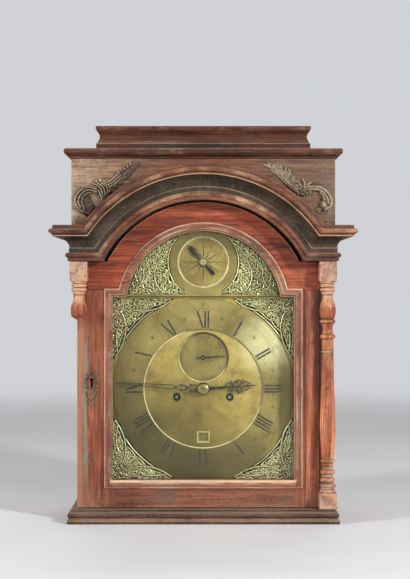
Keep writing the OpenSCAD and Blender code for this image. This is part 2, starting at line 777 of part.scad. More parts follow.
ratchet_r = 13.5;
module great_wheel(at, n, r, a) difference() {
    union() {
        slab(plates_y + great_u, plates_y + great_u + great_t) at_arbor(at)
            wheel_outline(n, r, wheel_tooth, a, rim = 4, boss = 9, arm = 5);
        axle(at, plates_y + great_u, plates_y + great_u + 6, 8);
        // The click beside the ratchet, on a block between two arms
        slab(plates_y + great_u - 3, plates_y + great_u) at_arbor(at) rotate(a)
            translate([ratchet_r + 0.8, -2]) square([9, 4]);
    }
    axle(at, plates_y + great_u - 1, plates_y + great_u + 7, winding_r + fit);
}
module going_great_wheel() color(brass)
    great_wheel(wind_at, great_n, going_r, towards(wind_at, [0, 0]));
module strike_great_wheel() color(brass)
    great_wheel(strike_at, strike_n, pitch_r(strike_at, pin_at, strike_n, pinion_n),
        towards(strike_at, pin_at));

// Gut barrel with its ratchet, arbor and winding square
square_w = 5.4;
module barrel(at) {
    axle(at, plates_y + barrel_u, plates_y + great_u - 3.5, barrel_r);
    for (u = [barrel_u, great_u - 6]) axle(at, plates_y + u, plates_y + u + 2, barrel_r + 2);
    slab(plates_y + great_u - 3.5, plates_y + great_u - shake) at_arbor(at)
        polygon([for (i = [0 : 47]) let (t = i * 7.5, r = i % 2 == 0 ? ratchet_r : ratchet_r - 2)
            [r * cos(t), r * sin(t)]]);
    axle(at, front_y - 24, plates_y + barrel_u, winding_r);
    axle(at, plates_y + great_u - 3.5, rear_y - shake, winding_r);
    axle(at, rear_y - shake, rear_back, 2.5);
    translate([at[0], 0, centre_z + at[1]])
        block([-square_w / 2, dial_y + 1, -square_w / 2], [square_w / 2, front_y - 24, square_w / 2]);
}
module going_barrel() color(steel) barrel(wind_at);
module strike_barrel() color(steel) barrel(strike_at);

module third_wheel() color(brass) {
    arbor(third_at);
    pinion(third_at, pinion_n, pitch_r(third_at, [0, 0], pinion_n, centre_n),
        towards(third_at, [0, 0]), centre_u - 3, centre_u + 6);
    slab(plates_y + third_u, plates_y + third_u + wheel_t) at_arbor(third_at)
        wheel_outline(third_n, pitch_r(third_at, escape_at, third_n, escape_pinion_n),
            wheel_tooth, towards(third_at, escape_at));
}

module escape_wheel() color(brass) {
    arbor(escape_at);
    pinion(escape_at, escape_pinion_n, pitch_r(escape_at, third_at, escape_pinion_n, third_n),
        towards(escape_at, third_at), third_u - 4, third_u + 6);
    slab(plates_y + escape_u, plates_y + escape_u + wheel_t) at_arbor(escape_at) {
        difference() {
            polygon([for (i = [0 : escape_n - 1], k = [0 : 2])
                let (t = (i + [0, 0.16, 0.62][k]) * 360 / escape_n, r = k == 0 ? escape_r
                    : escape_r - 3.4)
                [r * cos(t), r * sin(t)]]);
            circle(r = escape_r - 5.6);
        }
        circle(r = 4);
        for (i = [0 : 3]) rotate(i * 90) translate([3, -1.2]) square([escape_r - 8, 2.4]);
    }
    axle(escape_at, seconds_hand_y - 0.5, front_y + 1, seconds_post_r);
}

seconds_hand_y = dial_y - 2.8;
module seconds_hand() color(blued) slab(seconds_hand_y, seconds_hand_y + 0.8)
    at_arbor(escape_at) difference() {
        union() {
            rotate(90 - seconds_at) polygon([[0, -1.6], [39, -0.35], [39, 0.35], [0, 1.6]]);
            rotate(270 - seconds_at) translate([0, -1.2]) square([12, 2.4]);
            circle(r = 4.4);
        }
        circle(r = seconds_post_r);
    }

// Anchor whose pads stand clear of the escape wheel's tips by the pallets' swing
pad_clear = 0.85;
module pallets() color(steel) {
    axle(pallet_at, plates_y + shake, cock_y - shake, 1.8);
    axle(pallet_at, front_y + 0.2, plates_y + 1, pivot_r);
    axle(pallet_at, cock_y - 1, cock_y + cock_t - 0.2, pivot_r);
    slab(plates_y + escape_u - 1.5, plates_y + escape_u + wheel_t + 1.5)
        difference() {
            union() {
                at_arbor(pallet_at) circle(r = 5);
                for (s = [-1, 1]) at_arbor(pallet_at) polygon([[s * 3, 4.5], [s * 17, -4],
                    [s * 21.5, -17], [s * 13, -17], [s * 12.5, -6.5], [0, -4.5]]);
            }
            at_arbor(escape_at) circle(r = escape_r + pad_clear);
        }
}

fork_drop = 108;
module crutch() color(steel) difference() {
    union() {
        axle(pallet_at, rear_back + 8, rear_back + 13, 5);
        slab(rear_back + 9, rear_back + 11) at_arbor(pallet_at)
            translate([-2, -fork_drop]) square([4, fork_drop]);
        block([-7, rear_back + 9, centre_z + pallet_at[1] - fork_drop - 4],
            [7, rear_back + 24, centre_z + pallet_at[1] - fork_drop]);
    }
    axle(pallet_at, rear_back + 7, rear_back + 14, 1.8);
    block([-3, rear_back + 14, centre_z + pallet_at[1] - fork_drop - 5],
        [3, rear_back + 25, centre_z + pallet_at[1] - fork_drop + 1]);
}

pin_r = 19;
module pin_wheel() color(brass) {
    arbor(pin_at);
    pinion(pin_at, pinion_n, pitch_r(pin_at, strike_at, pinion_n, strike_n),
        towards(pin_at, strike_at), great_u - 4, great_u + 7);
    slab(plates_y + pin_u, plates_y + pin_u + wheel_t) at_arbor(pin_at)
        wheel_outline(pin_n, pitch_r(pin_at, gather_at, pin_n, pinion_n), wheel_tooth,
            towards(pin_at, gather_at), rim = 4);
    for (i = [0 : 7]) axle(pin_at + pin_r * [cos(i * 45 + 22.5), sin(i * 45 + 22.5)],
        plates_y + pin_u, plates_y + pin_u + wheel_t + 4, 1);
}

gather_l = 5;
module gathering_wheel() color(brass) {
    axle(gather_at, plates_y + shake, rear_y - shake, arbor_r);
    axle(gather_at, rear_y - 1, rear_back - 0.2, pivot_r);
    axle(gather_at, front_y - rack_v - 4, plates_y + 1, gather_post_r);
    pinion(gather_at, pinion_n, pitch_r(gather_at, pin_at, pinion_n, pin_n),
        towards(gather_at, pin_at), pin_u - 2, pin_u + 6);
    slab(plates_y + gather_u, plates_y + gather_u + wheel_t) at_arbor(gather_at)
        wheel_outline(gather_n, pitch_r(gather_at, warn_at, gather_n, pinion_n), wheel_tooth,
            towards(gather_at, warn_at), rim = 2);
    slab(front_y - rack_v - 3, front_y - rack_v + 1) at_arbor(gather_at) {
        circle(r = 2.8);
        translate([0, -1]) square([gather_l, 2]);
    }
}

module warning_wheel() color(brass) {
    arbor(warn_at, 1.3);
    pinion(warn_at, pinion_n, pitch_r(warn_at, gather_at, pinion_n, gather_n),
        towards(warn_at, gather_at), gather_u - 3, gather_u + 6);
    slab(plates_y + warn_u, plates_y + warn_u + wheel_t) at_arbor(warn_at)
        wheel_outline(warn_n, pitch_r(warn_at, fly_at, warn_n, fly_pinion_n), wheel_tooth,
            towards(warn_at, fly_at), rim = 2, boss = 3.4, arm = 2);
}

module fly() color(brass) {
    arbor(fly_at, 1.2);
    pinion(fly_at, fly_pinion_n, pitch_r(fly_at, warn_at, fly_pinion_n, warn_n),
        towards(fly_at, warn_at), warn_u - 3, warn_u + 6);
    slab(plates_y + fly_u, plates_y + fly_u + 12) at_arbor(fly_at) rotate(35)
        translate([-12, -0.5]) square([24, 1]);
}

// Hammer with its stem, head and tail; the head rests just off the bell's rim
head_gap = 0.6;
head_r = 6;
tail_l = apart(hammer_at, pin_at) - pin_r - 1.8;
head_at = [bell_x - bell_r - head_gap - 7, rim_z - centre_z + 5];
module hammer() color(steel) {
    arbor(hammer_at);
    slab(plates_y + hammer_u, plates_y + hammer_u + 3) at_arbor(hammer_at)
        rotate(towards(hammer_at, head_at)) translate([0, -1.4])
            square([apart(hammer_at, head_at), 2.8]);
    translate([head_at[0] - 7, bell_y, centre_z + head_at[1]]) rotate([0, 90, 0])
        cylinder(h = 14, r = head_r);
    slab(plates_y + pin_u + wheel_t + 0.6, plates_y + pin_u + wheel_t + 4) at_arbor(hammer_at)
        rotate(towards(hammer_at, pin_at)) {
            circle(r = 3.4);
            translate([0, -1.5]) square([tail_l, 3]);
        }
    axle(hammer_at, plates_y + hammer_u - 1, plates_y + hammer_u + 4, 3.4);
    slab(plates_y + hammer_u, plates_y + hammer_u + 3) at_arbor(hammer_at)
        rotate(towards(hammer_at, [-80 + hammer_clear, 46])) translate([0, -1.4])
            square([apart(hammer_at, [-80 + hammer_clear + 1, 46]), 2.8]);
}

// Rack: teeth on an arc outside the reach of the gathering pallet, and a tail to the snail
rack_r = apart(rack_at, gather_at) - gather_l - 0.6;
tooth_a = 2;
tail_a = -36;
module rack() color(steel) difference() {
    union() {
        slab(front_y - rack_v - 2, front_y - rack_v) at_arbor(rack_at) {
            polygon(concat(
                [for (i = [0 : 27], k = [0, 1])
                    let (t = 20 + tooth_a * (i + 0.85 * k), r = k == 0 ? rack_r : rack_r - 1.4)
                    [r * cos(t), r * sin(t)]],
                [for (t = [76 : -4 : 20]) (rack_r - 5) * [cos(t), sin(t)]]));
            for (t = [30, 66]) rotate(t) translate([0, -1.8]) square([rack_r - 3, 3.6]);
            rotate(tail_a) polygon([[0, -2.4], [50, -1.2], [50, 1.2], [0, 2.4]]);
        }
        axle(rack_at, front_y - rack_v - 2, front_y - 0.4, 4.5);
    }
    axle(rack_at, front_y - rack_v - 5, front_y, stud_r + fit);
}

beak_a = 68;
beak_at = rack_at + (rack_r + 0.4) * [cos(beak_a), sin(beak_a)];
module rack_hook() color(steel) difference() {
    union() {
        slab(front_y - rack_v - 2, front_y - rack_v) translate([0, centre_z]) {
            polygon([hook_at + [-1, -2.4], hook_at + [4, -3], beak_at + [-3, 4.5],
                beak_at + [-1.2, 1.4], beak_at, beak_at + [2.4, 1.2], beak_at + [3, 8],
                hook_at + [0, 3]]);
            translate(hook_at - [1.5, hook_tail]) square([3, hook_tail]);
        }
        axle(hook_at, front_y - rack_v - 2, front_y - 0.4, 4);
    }
    axle(hook_at, front_y - rack_v - 5, front_y, stud_r + fit);
}
hook_tail = 15;

// Lifting piece: a bent lever from the minute wheel's pin to the rack hook's tail
lift_pin = [hook_at[0] - 1.5 - 0.4 - 1.2, hook_at[1] - hook_tail + 1.6];
module lifting_piece() color(steel) difference() {
    union() {
        slab(front_y - bridge_v - 1.6, front_y - bridge_v + 0.4) translate([0, centre_z]) {
            polygon([lift_at + [-3, 0], [lift_at[0] - 2, -34], [lift_at[0] - 2, -38],
                [-14, -37], [-14, -34], [lift_at[0] + 4, -34], lift_at + [3, 0]]);
            polygon([lift_at + [-3, 0], lift_at + [3, 0], lift_pin + [1.4, 1], lift_pin + [-1.4, 1]]);
            translate(lift_at) circle(r = 4.5);
        }
        axle(lift_pin, front_y - rack_v - 2, front_y - bridge_v, 1.2);
        axle(lift_at, front_y - bridge_v, front_y - 0.4, 4.5);
    }
    axle(lift_at, front_y - hour_v - 5, front_y, stud_r + fit);
}

module date_wheel() color(brass) difference() {
    union() {
        slab(front_y - date_v - 3, front_y - date_v) at_arbor(date_wheel_at)
            wheel_outline(date_n, pitch_r(date_wheel_at, [0, 0], date_n, date_pinion_n),
                motion_tooth, towards(date_wheel_at, [0, 0]), rim = 4, boss = 6);
        axle(date_wheel_at, dial_back + shake, front_y - date_v, 4.5);
        axle(date_wheel_at + [0, 25.5], date_ring_y, front_y - date_v, 1.2);
    }
    axle(date_wheel_at, dial_back - 1, front_y, stud_r + fit);
}

module date_ring() color([0.75, 0.66, 0.4]) slab(date_ring_y, date_ring_y + disc_t)
    translate([0, centre_z]) difference() {
        circle(r = date_ring_ro, $fn = 120);
        polygon([for (i = [0 : ring_n - 1], k = [0, 1])
            let (t = 90 + 360 / ring_n * (i + 0.5 * k), r = date_ring_ri + 3 * k)
            [r * cos(t), r * sin(t)]]);
    }

module arch_hand() color(blued) {
    slab(dial_y - 4, dial_y - 2.6) at_arbor([0, arch_dial_up]) {
        rotate(90 - arch_at) polygon([[3, -1.6], [12, -4], [30, -4], [35.5, 0], [30, 4], [12, 4],
            [3, 1.6]]);
        rotate(270 - arch_at) polygon([[3, -1.4], [14, -3.2], [26, -3.2], [28, 0], [26, 3.2],
            [14, 3.2], [3, 1.4]]);
        circle(r = 6);
    }
    axle([0, arch_dial_up], dial_y - 5, dial_back + 4, arch_post_r);
    axle([0, arch_dial_up], dial_y - 5.4, dial_y - 4, 7.5);
    axle([0, arch_dial_up], dial_back + shake, dial_back + 2.5, 6);
}

module hood_sides() color(oak) for (s = [-1, 1]) difference() {
    translate([s * (half_w - side_t / 2) - side_t / 2, 0, 0]) {
        block([0, sides_y, base_h], [side_t, hood_back, frieze_top]);
        block([0, frieze_y + frieze_t, frieze_z], [side_t, sides_y + 1, frieze_top]);
    }
    if (s < 0) block([-half_w + side_t - bolt_throw - 2, bolt_y - 0.5, key_z + 6.5],
        [-half_w + side_t + 1, bolt_y + bolt_t + 0.5, key_z + 15.5]);
}
bolt_throw = 6;
bolt_t = 4;
lock_d = 11;
bolt_y = door_y + door_t + lock_d - bolt_t - 2;

module base_moulding() color(oak) difference() {
    moulded(base_profile, half_w, base_face, hood_back);
    block([-half_w + side_t + 2, mask_y + mask_t + 1, -1],
        [half_w - side_t - 2, hood_back + 1, base_h + 1]);
    translate([column_x, column_y, base_h - hinge_l - 1]) cylinder(h = hinge_l + 2, r = pin_bore_r);
}
base_face = door_y - base_front + base_side;

module frieze() color(oak) difference() {
    union() {
        block([-frieze_w, frieze_y, frieze_z], [frieze_w, frieze_y + frieze_t, frieze_top]);
        for (s = [-1, 1]) translate([s * (half_w + frieze_side / 2) - frieze_side / 2, 0, 0])
            block([0, frieze_y + frieze_t, frieze_z], [frieze_side, hood_back, frieze_top]);
    }
    rod(0, arch_z, frieze_y - 1, frieze_y + frieze_t + 1, arch_r, $fn = 180);
    translate([column_x, column_y, frieze_z - 1]) cylinder(h = hinge_l + 2, r = pin_bore_r);
}

// The straight moulding stops and the arched one starts on a mitre line
mitre_in = chord(arch_r, frieze_z - arch_z);
mitre_out = chord(arch_r + mould_h, frieze_z + mould_h - arch_z);
module mitre_wedge() {
    polygon([[-mitre_in, frieze_z], [mitre_in, frieze_z], [mitre_out, frieze_z + mould_h],
        [mitre_out, frieze_z + 3 * mould_h], [-mitre_out, frieze_z + 3 * mould_h],
        [-mitre_out, frieze_z + mould_h]]);
}
module entablature_moulding() color(dark_oak) {
    difference() {
        translate([0, 0, frieze_z]) moulded(ent_profile, frieze_w, frieze_y, hood_back);
        block([-frieze_w, frieze_y, frieze_z - 1],
            [frieze_w, hood_back + 1, frieze_z + mould_h + 1]);
        slab(frieze_y - mould_proj - 1, frieze_y + 1) mitre_wedge();
    }
    intersection() {
        translate([0, frieze_y, arch_z]) rotate([90, 0, 0]) rotate_extrude($fn = 180)
            polygon(concat([for (q = ent_profile) [arch_r + q[1], q[0]]],
                [[arch_r + mould_h, 0], [arch_r, 0]]));
        slab(frieze_y - mould_proj - 1, frieze_y + 1) mitre_wedge();
    }
}

module top_board() color(oak) translate([0, 0, frieze_top])
    moulded(top_profile, frieze_w, frieze_y, hood_back);

module caddy() color(oak) translate([0, 0, top_z])
    moulded(caddy_profile, caddy_w / 2, door_y + caddy_setback, hood_back - 8);

// Applied scrolls, placed from the frieze's top corners: a volute, a leaf and a stem
carving_t = 12;
volute_at = [-21.4, -71];
volute_r = 13;
module carvings() color(dark_oak) for (s = [-1, 1]) scale([s, 1, 1])
    slab(frieze_y - carving_t, frieze_y) translate([frieze_w, frieze_top]) {
        translate(volute_at) circle(r = volute_r);
        polygon([[-20.4, -82], [-9.4, -74], [-8.4, -43], [-27.4, -22], [-62.4, -16],
            [-108.4, -6], [-104.4, -16], [-72.4, -32], [-44.4, -40], [-28.4, -54]]);
    }

// Board just in front of the dial that frames it, fixed between the hood's sides
mask_drop = 28;
module dial_mask() color(dark_oak) slab(mask_y, mask_y + mask_t) difference() {
    translate([-half_w + side_t, base_h])
        square([case_w - 2 * side_t, frieze_top - mask_drop - base_h]);
    arched(dial_w, dial_z, dial_shoulder_z, dial_arch_r, dial_arch_z, g = -mask_lap);
    translate([-half_w + side_t - 1, key_z - 20]) square([lock_w + 5, 48]);
}

module door_outline() {
    translate([-half_w, door_z]) square([case_w, door_top - door_z]);
    intersection() {
        translate([0, dial_arch_z]) circle(r = door_arch_r, $fn = 180);
        translate([-half_w, door_top - 1]) square([case_w, 200]);
    }
}
module light_outline(g) {
    arched(light_w, light_z, light_shoulder_z, light_arch_r, dial_arch_z, g);
}
lock_w = 24;
lock_x = -half_w + side_t + 2.5;
module door_frame() color(oak) difference() {
    union() {
        slab(door_y, door_y + door_t) door_outline();
        slab(door_y - lip_proj, door_y) light_outline(lip_w);
    }
    slab(door_y - lip_proj - 1, door_y + door_t + 1) light_outline(0);
    slab(glass_y, door_y + door_t + 1) light_outline(rebate_w);
    slab(door_y - 1, door_y + door_t + 1) key_outline(0.4);
}

// Keyhole: round above, with a slot below
key_slot = 12;
module key_outline(g) translate([key_x, key_z]) {
    circle(r = 2.6 + g);
    translate([-1.3 - g, -key_slot - g]) square([2.6 + 2 * g, key_slot + g]);
}

module door_glass() color([0.75, 0.82, 0.8, 0.25])
    slab(glass_y, glass_y + glass_t) light_outline(rebate_w - 0.4);

// Turned column: rows of radius and height, rings given by their bottom and top
function ring(z0, z1, r) = arc([r - (z1 - z0) / 2, (z0 + z1) / 2], (z1 - z0) / 2,
    (z1 - z0) / 2, -90, 90, 6);
column_low = concat(
    [[10, 47.8]], ring(47.8, 54.7, 13.3), [[11.4, 55.4], [11.4, 57.4]], ring(57.9, 62.7, 13.3),
    [[10.6, 63.6]], ring(65, 73.7, 12), [[9.6, 74.8], [9.6, 77.4]], ring(78, 86.5, 11.7),
    [[8.8, 88], [8.5, 91.5], [9.2, 95.5]], ring(97.3, 103.1, 11.6),
    [[9.8, 104.6], [10.6, 112], [12, 135], [12.8, 156.9], [11.8, 188.4], [10.4, 231.5],
     [9.5, 273.3]], ring(274.9, 277.8, 10.6), [[9.3, 279], [9.3, 295.8]],
    ring(297.1, 304.7, 12.5), [[9, 306.5], [8.2, 313.5], [9.4, 319.6]]);
vase_r = 13.2;
vase_z = 343.2;
column_high = concat(
    ring(322.5, 328.5, 12.9), [[10, 329.5]],
    arc([10, vase_z], vase_r - 10, 12.5, -80, 20, 8), [[11.6, 353], [9.4, 360], [8.5, 368.2]],
    [[10.4, 370.7], [10.4, 373.4]], ring(373.8, 379.5, 12.6), ring(380.2, 386.3, 12.6),
    [[11.8, 387.4], [13.6, 392]]);
block_low_z = 48.8;
block_top_z = 390.6;
module turned(rows) rotate_extrude($fn = 64)
    polygon(concat([[0, rows[0][1]]], rows, [[0, rows[len(rows) - 1][1]]]));
module square_block(z0, z1) {
    translate([-block_w / 2, -column_front, z0]) cube([block_w, 2 * column_front, z1 - z0]);
}
module door_column() color(oak) translate([column_x, column_y, 0]) {
    square_block(door_z, block_low_z);
    turned(concat(column_low, column_high));
    square_block(block_top_z, door_top);
    translate([0, 0, door_z - hinge_l + 1]) cylinder(h = hinge_l + 1, r = hinge_r);
    translate([0, 0, door_top - 1]) cylinder(h = hinge_l, r = hinge_r);
}

// What is left of the other column: its top block and vase, broken off below
module column_stub() color(oak) translate([-column_x, column_y, 0]) difference() {
    union() {
        turned(column_high);
        square_block(block_top_z, door_top);
    }
    translate([2, -20, 300]) rotate([0, 32, 0]) cube([20, 40, 34]);
}

// Pierced key plate: an upright oval with two lobes, most of it below the keyhole
escutcheon_t = 1.2;
escutcheon_drop = 18;
escutcheon_h = 66;
escutcheon_w = 25;
lobe_z = 20;
module escutcheon() color([0.4, 0.36, 0.3]) slab(door_y - escutcheon_t, door_y) difference() {
    translate([key_x, key_z - escutcheon_drop]) difference() {
        union() {
            scale([escutcheon_w / escutcheon_h, 1]) circle(r = escutcheon_h / 2);
            for (s = [-1, 1]) translate([0, s * lobe_z]) circle(r = 9);
        }
        for (s = [-1, 1], z = [-lobe_z, -1]) translate([s * 5, z]) circle(r = 2);
    }
    key_outline(0);
}

module door_lock() color(steel) difference() {
    block([lock_x, door_y + door_t, key_z - 17],
        [lock_x + lock_w, door_y + door_t + lock_d, key_z + 19]);
    slab(door_y + door_t - 1, door_y + door_t + lock_d + 1) key_outline(0.2);
    block([lock_x - 1, bolt_y - 0.3, key_z + 7.7],
        [lock_x + lock_w - 4, bolt_y + bolt_t + 0.3, key_z + 14.3]);
}

module lock_bolt() color(brass) block([lock_x, bolt_y, key_z + 8],
    [lock_x + lock_w - 4.5 - bolt_throw, bolt_y + bolt_t, key_z + 14]);

backboard();
cheeks();
seatboard();
seatboard_bolts();
front_plate();
back_plate();
plate_pillars();
back_cock();
dial_plate();
chapter_ring();
seconds_dial();
arch_ring();
corner_spandrels();
arch_spandrels();
bell_stand();
bell();
hour_bridge();
hammer_spring();
centre_wheel();
cannon_wheel();
minute_hand();
hand_collet();
hour_wheel();
hour_hand();
minute_wheel();
going_great_wheel();
going_barrel();
strike_great_wheel();
strike_barrel();
third_wheel();
escape_wheel();
seconds_hand();
pallets();
crutch();
pin_wheel();
gathering_wheel();
warning_wheel();
fly();
hammer();
rack();
rack_hook();
lifting_piece();
date_wheel();
date_ring();
arch_hand();
hood_sides();
base_moulding();
frieze();
entablature_moulding();
top_board();
caddy();
carvings();
dial_mask();
door_frame();
door_glass();
door_column();
column_stub();
escutcheon();
door_lock();
lock_bolt();
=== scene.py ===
"""Weight-driven wall clock: detailed pieces, materials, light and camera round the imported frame."""
import bpy, bmesh, math
import numpy as np
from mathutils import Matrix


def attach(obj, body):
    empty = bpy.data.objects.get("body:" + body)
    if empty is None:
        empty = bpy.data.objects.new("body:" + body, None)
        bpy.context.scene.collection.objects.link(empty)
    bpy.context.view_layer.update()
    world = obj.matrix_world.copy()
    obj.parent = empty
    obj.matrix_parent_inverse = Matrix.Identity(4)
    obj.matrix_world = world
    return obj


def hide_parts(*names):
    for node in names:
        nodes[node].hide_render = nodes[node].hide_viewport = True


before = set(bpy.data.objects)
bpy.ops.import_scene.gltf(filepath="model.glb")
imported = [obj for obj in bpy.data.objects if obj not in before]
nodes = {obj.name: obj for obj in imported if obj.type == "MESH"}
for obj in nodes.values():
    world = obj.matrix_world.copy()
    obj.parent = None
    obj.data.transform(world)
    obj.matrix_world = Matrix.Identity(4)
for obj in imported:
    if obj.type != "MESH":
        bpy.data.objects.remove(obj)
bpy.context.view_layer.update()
scene = bpy.context.scene
MM = 0.001

# ------------------------------------------------------------------ places, in millimetres
DOOR_Y, DOOR_BACK = -73.0, -53.0
FRIEZE_Y, FRIEZE_W, FRIEZE_Z, FRIEZE_TOP = -98.0, 212.4, 423.0, 588.0
ARCH_Z, ARCH_R = 340.0, 182.0
ENT_W, ENT_H = 34, 57
BACK_Y = 116.7
HALF_W = 205.0
DIAL_Y, CENTRE_Z, DIAL_ARCH_Z, SECONDS_Z = -41.0, 214.0, 422.0, 265.0
RING_Y, SECONDS_Y = -42.5, -38.5
COLUMN_X, COLUMN_Y, BLOCK, PIN = 201.0, -87.0, 14.2, 3.0
LIGHT_W, LIGHT_Z, SHOULDER_Z, LIGHT_R, LIGHT_ARC_Z = 147.7, 67.4, 365.0, 127.6, 345.0
DOOR_Z, DOOR_TOP, DOOR_R, RAIL_Z = 23.3, 422.2, 174.0, 376.0
KEY_X, KEY_Z, KEY_SLOT = -181.5, 230.0, 12.0
PLATE_Z = KEY_Z - 18
R_FOOT, R_HEAD = 100.5, 127.2
TRACK_IN, TRACK_OUT = 129.6, 132.6
DATE_R, DATE_Y = 79.6, -36.5
WIND_X, WIND_Z = 43.5, 200.0
BASE_Y = -92.0
CADDY_W, CADDY_Y, CADDY_BACK, CADDY_Z = 175.0, -59.0, 108.7, 604.0


# ------------------------------------------------------------------ materials
class Value:
    """A node's output. Its methods each put a math node after it."""

    def __init__(self, nodes_, socket):
        self.nodes, self.socket = nodes_, socket


for word, op, *fixed in (("__add__", "ADD"), ("__sub__", "SUBTRACT"), ("__mul__", "MULTIPLY"),
                         ("times_plus", "MULTIPLY_ADD"), ("top", "MAXIMUM"), ("root", "SQRT"),
                         ("squared", "POWER", 2), ("size", "ABSOLUTE", 0)):
    setattr(Value, word, lambda v, *more, op=op, fixed=fixed: v.nodes.maths(op, v, *fixed, *more))
# the sum, kept between 0 and 1
Value.plus = lambda v, more: v.nodes.maths("ADD", v, more, clamp=True)


class Nodes:
    """Short calls that build a node tree. base is the colour so far, painted over step by step."""

    def __init__(self, name, kind="Material"):
        self.mat = (bpy.data.worlds if kind == "World" else bpy.data.materials).new(name)
        self.mat.use_nodes = True
        self.tree = self.mat.node_tree
        self.tree.nodes.clear()
        self.out = self.tree.nodes.new("ShaderNodeOutput" + kind)
        self.coord = self.tree.nodes.new("ShaderNodeTexCoord").outputs["Object"]

    def new(self, kind, inputs=(), **props):
        n = self.tree.nodes.new("ShaderNode" + kind)
        for k, v in props.items():
            setattr(n, k, v)
        for k, v in dict(inputs).items():
            self.put(n.inputs[k], v)
        return n

    def value(self, kind, inputs=(), out=0, **props):
        return Value(self, self.new(kind, inputs, **props).outputs[out])

    def put(self, socket, v):
        v = getattr(v, "socket", v)
        if isinstance(v, bpy.types.NodeSocket):
            self.tree.links.new(v, socket)
        elif isinstance(v, (tuple, list)) and len(v) == 3 and socket.type == "RGBA":
            socket.default_value = (*v, 1)
        else:
            socket.default_value = v

    def maths(self, op, a, b=0.5, c=0.5, clamp=False):
        return self.value("Math", dict(enumerate((a, b, c))), operation=op, use_clamp=clamp)

    def mix(self, fac, a, b, blend="MIX"):
        return self.value("Mix", {0: fac, 6: a, 7: b}, 2, data_type="RGBA", blend_type=blend)

    def paint(self, fac, *color):
        self.base = self.mix(fac, self.base, srgb(*color))

    def span(self, v, lo, hi, out_lo=0.0, out_hi=1.0):
        """v from lo to hi goes smoothly from out_lo to out_hi."""
        return self.value("MapRange", dict(enumerate((v, lo, hi, out_lo, out_hi))),
                          interpolation_type="SMOOTHSTEP")

    def noise(self, scale, detail=4, rough=0.55, stretch=(1, 1, 1), distort=0.0):
        """Noise whose scale is in cells per metre, finer where stretch is above 1."""
        m = self.value("Mapping", {"Vector": self.coord, "Scale": stretch})
        return self.value("TexNoise", {"Vector": m, "Scale": scale, "Detail": detail,
                                       "Roughness": rough, "Distortion": distort})

    def attribute(self, name):
        return self.value("Attribute", out="Fac", attribute_name=name)

    def axis(self, i, of=None):
        return self.value("SeparateXYZ", {0: of or self.coord}, i)

    def facing(self, i):
        return self.axis(i, self.value("NewGeometry", out="Normal"))

    def ramp(self, v, stops):
        n = self.new("ValToRGB", {0: v})
        el = n.color_ramp.elements
        for i, (p, c) in enumerate(stops):
            e = el[i] if i < 2 else el.new(p)
            e.position = p
            e.color = (*c, 1)
        return Value(self, n.outputs[0])

    def blend(self, fac, a, b):
        """The material's surface: shader a where fac is 0, b where it is 1."""
        self.put(self.out.inputs[0], self.value("MixShader", {0: fac, 1: a, 2: b}))

    def done(self, color, rough, bump=None, height=0.0004, **plain):
        p = self.new("BsdfPrincipled", {"Base Color": color, "Roughness": rough})
        for k, v in plain.items():
            p.inputs[k.replace("_", " ")].default_value = v
        if bump is not None:
            self.put(p.inputs["Normal"],
                     self.value("Bump", {"Height": bump, "Distance": height, "Strength": 1.0}))
        self.put(self.out.inputs[0], p.outputs[0])
        return self.mat


def srgb(*c):
    """A colour as a picture shows it, 0 to 255, made linear."""
    return tuple((v / 255 / 12.92) if v < 10.3 else ((v / 255 + 0.055) / 1.055) ** 2.4 for v in c)


def wood(name, grain, dark, mid, light, worn=(186, 138, 104), dusty=0.35, pale=0.5, extra=None,
         sheen=0.5):
    """Stained oak: grain runs along axis 0, 1 or 2. wear and cavity attributes lighten the
    edges and darken the corners."""
    n = Nodes(name)
    thin = [5.0, 5.0, 5.0]
    thin[grain] = 0.22
    broad = n.noise(9, 3, 0.5, thin, 0.6)
    fine = n.noise(60, 4, 0.65, thin, 0.2)
    pores = n.noise(150, 2, 0.7, [v * (1.3 if v > 1 else 0.9) for v in thin])
    mottle = n.noise(22, 5, 0.62)
    speck = n.noise(260, 3, 0.6)
    n.base = n.ramp(broad * 0.55 + fine * 0.45, [(0.39, srgb(*dark)), (0.5, srgb(*mid)), (0.61, srgb(*light))])
    n.paint(n.span(mottle, 0.5, 0.72, 0, 0.55), *dark)
    tone = (n.span(n.noise(5, 3), 0.3, 0.7, 0.78, 1.14)
            * n.span(n.noise(110, 3, 0.7, [min(t, 1.4) for t in thin]), 0.35, 0.65, 0.8, 1.16))
    n.base = n.mix(1.0, n.base, tone, "MULTIPLY")
    pore = n.span(pores, 0.57, 0.7)
    n.paint(pore * 0.55, *(c * 0.35 for c in dark))
    wear, cav = n.attribute("wear"), n.attribute("cavity")
    rub = n.span(wear + (mottle - 0.5) * 1.5, 0.4, 0.95, 0, pale)
    n.paint(rub * n.span(wear, 0.02, 0.25), *worn)
    pit = n.span(cav + (mottle - 0.5) * 0.5, 0.15, 0.75, 0, 0.85)
    n.paint(pit * n.span(cav, 0.02, 0.2), 30, 21, 16)
    film = n.span(speck + mottle * 1.3, 1.1, 1.9) * dusty
    powder = film.plus(n.attribute("dust") * n.span(speck + mottle, 0.75, 1.15))
    powder = n.span(n.facing(2), 0.3, 0.9).times_plus(0.3, powder, True)
    n.paint(powder, 164, 148, 124)
    if extra:
        extra(n)
    rough = n.span(fine, 0.35, 0.7, sheen - 0.08, sheen + 0.1).plus(powder * 0.45)
    return n.done(n.base, rough, mottle.times_plus(0.5, fine * 0.5 - pore * 0.8), 0.00035,
                  Specular_IOR_Level=0.28)


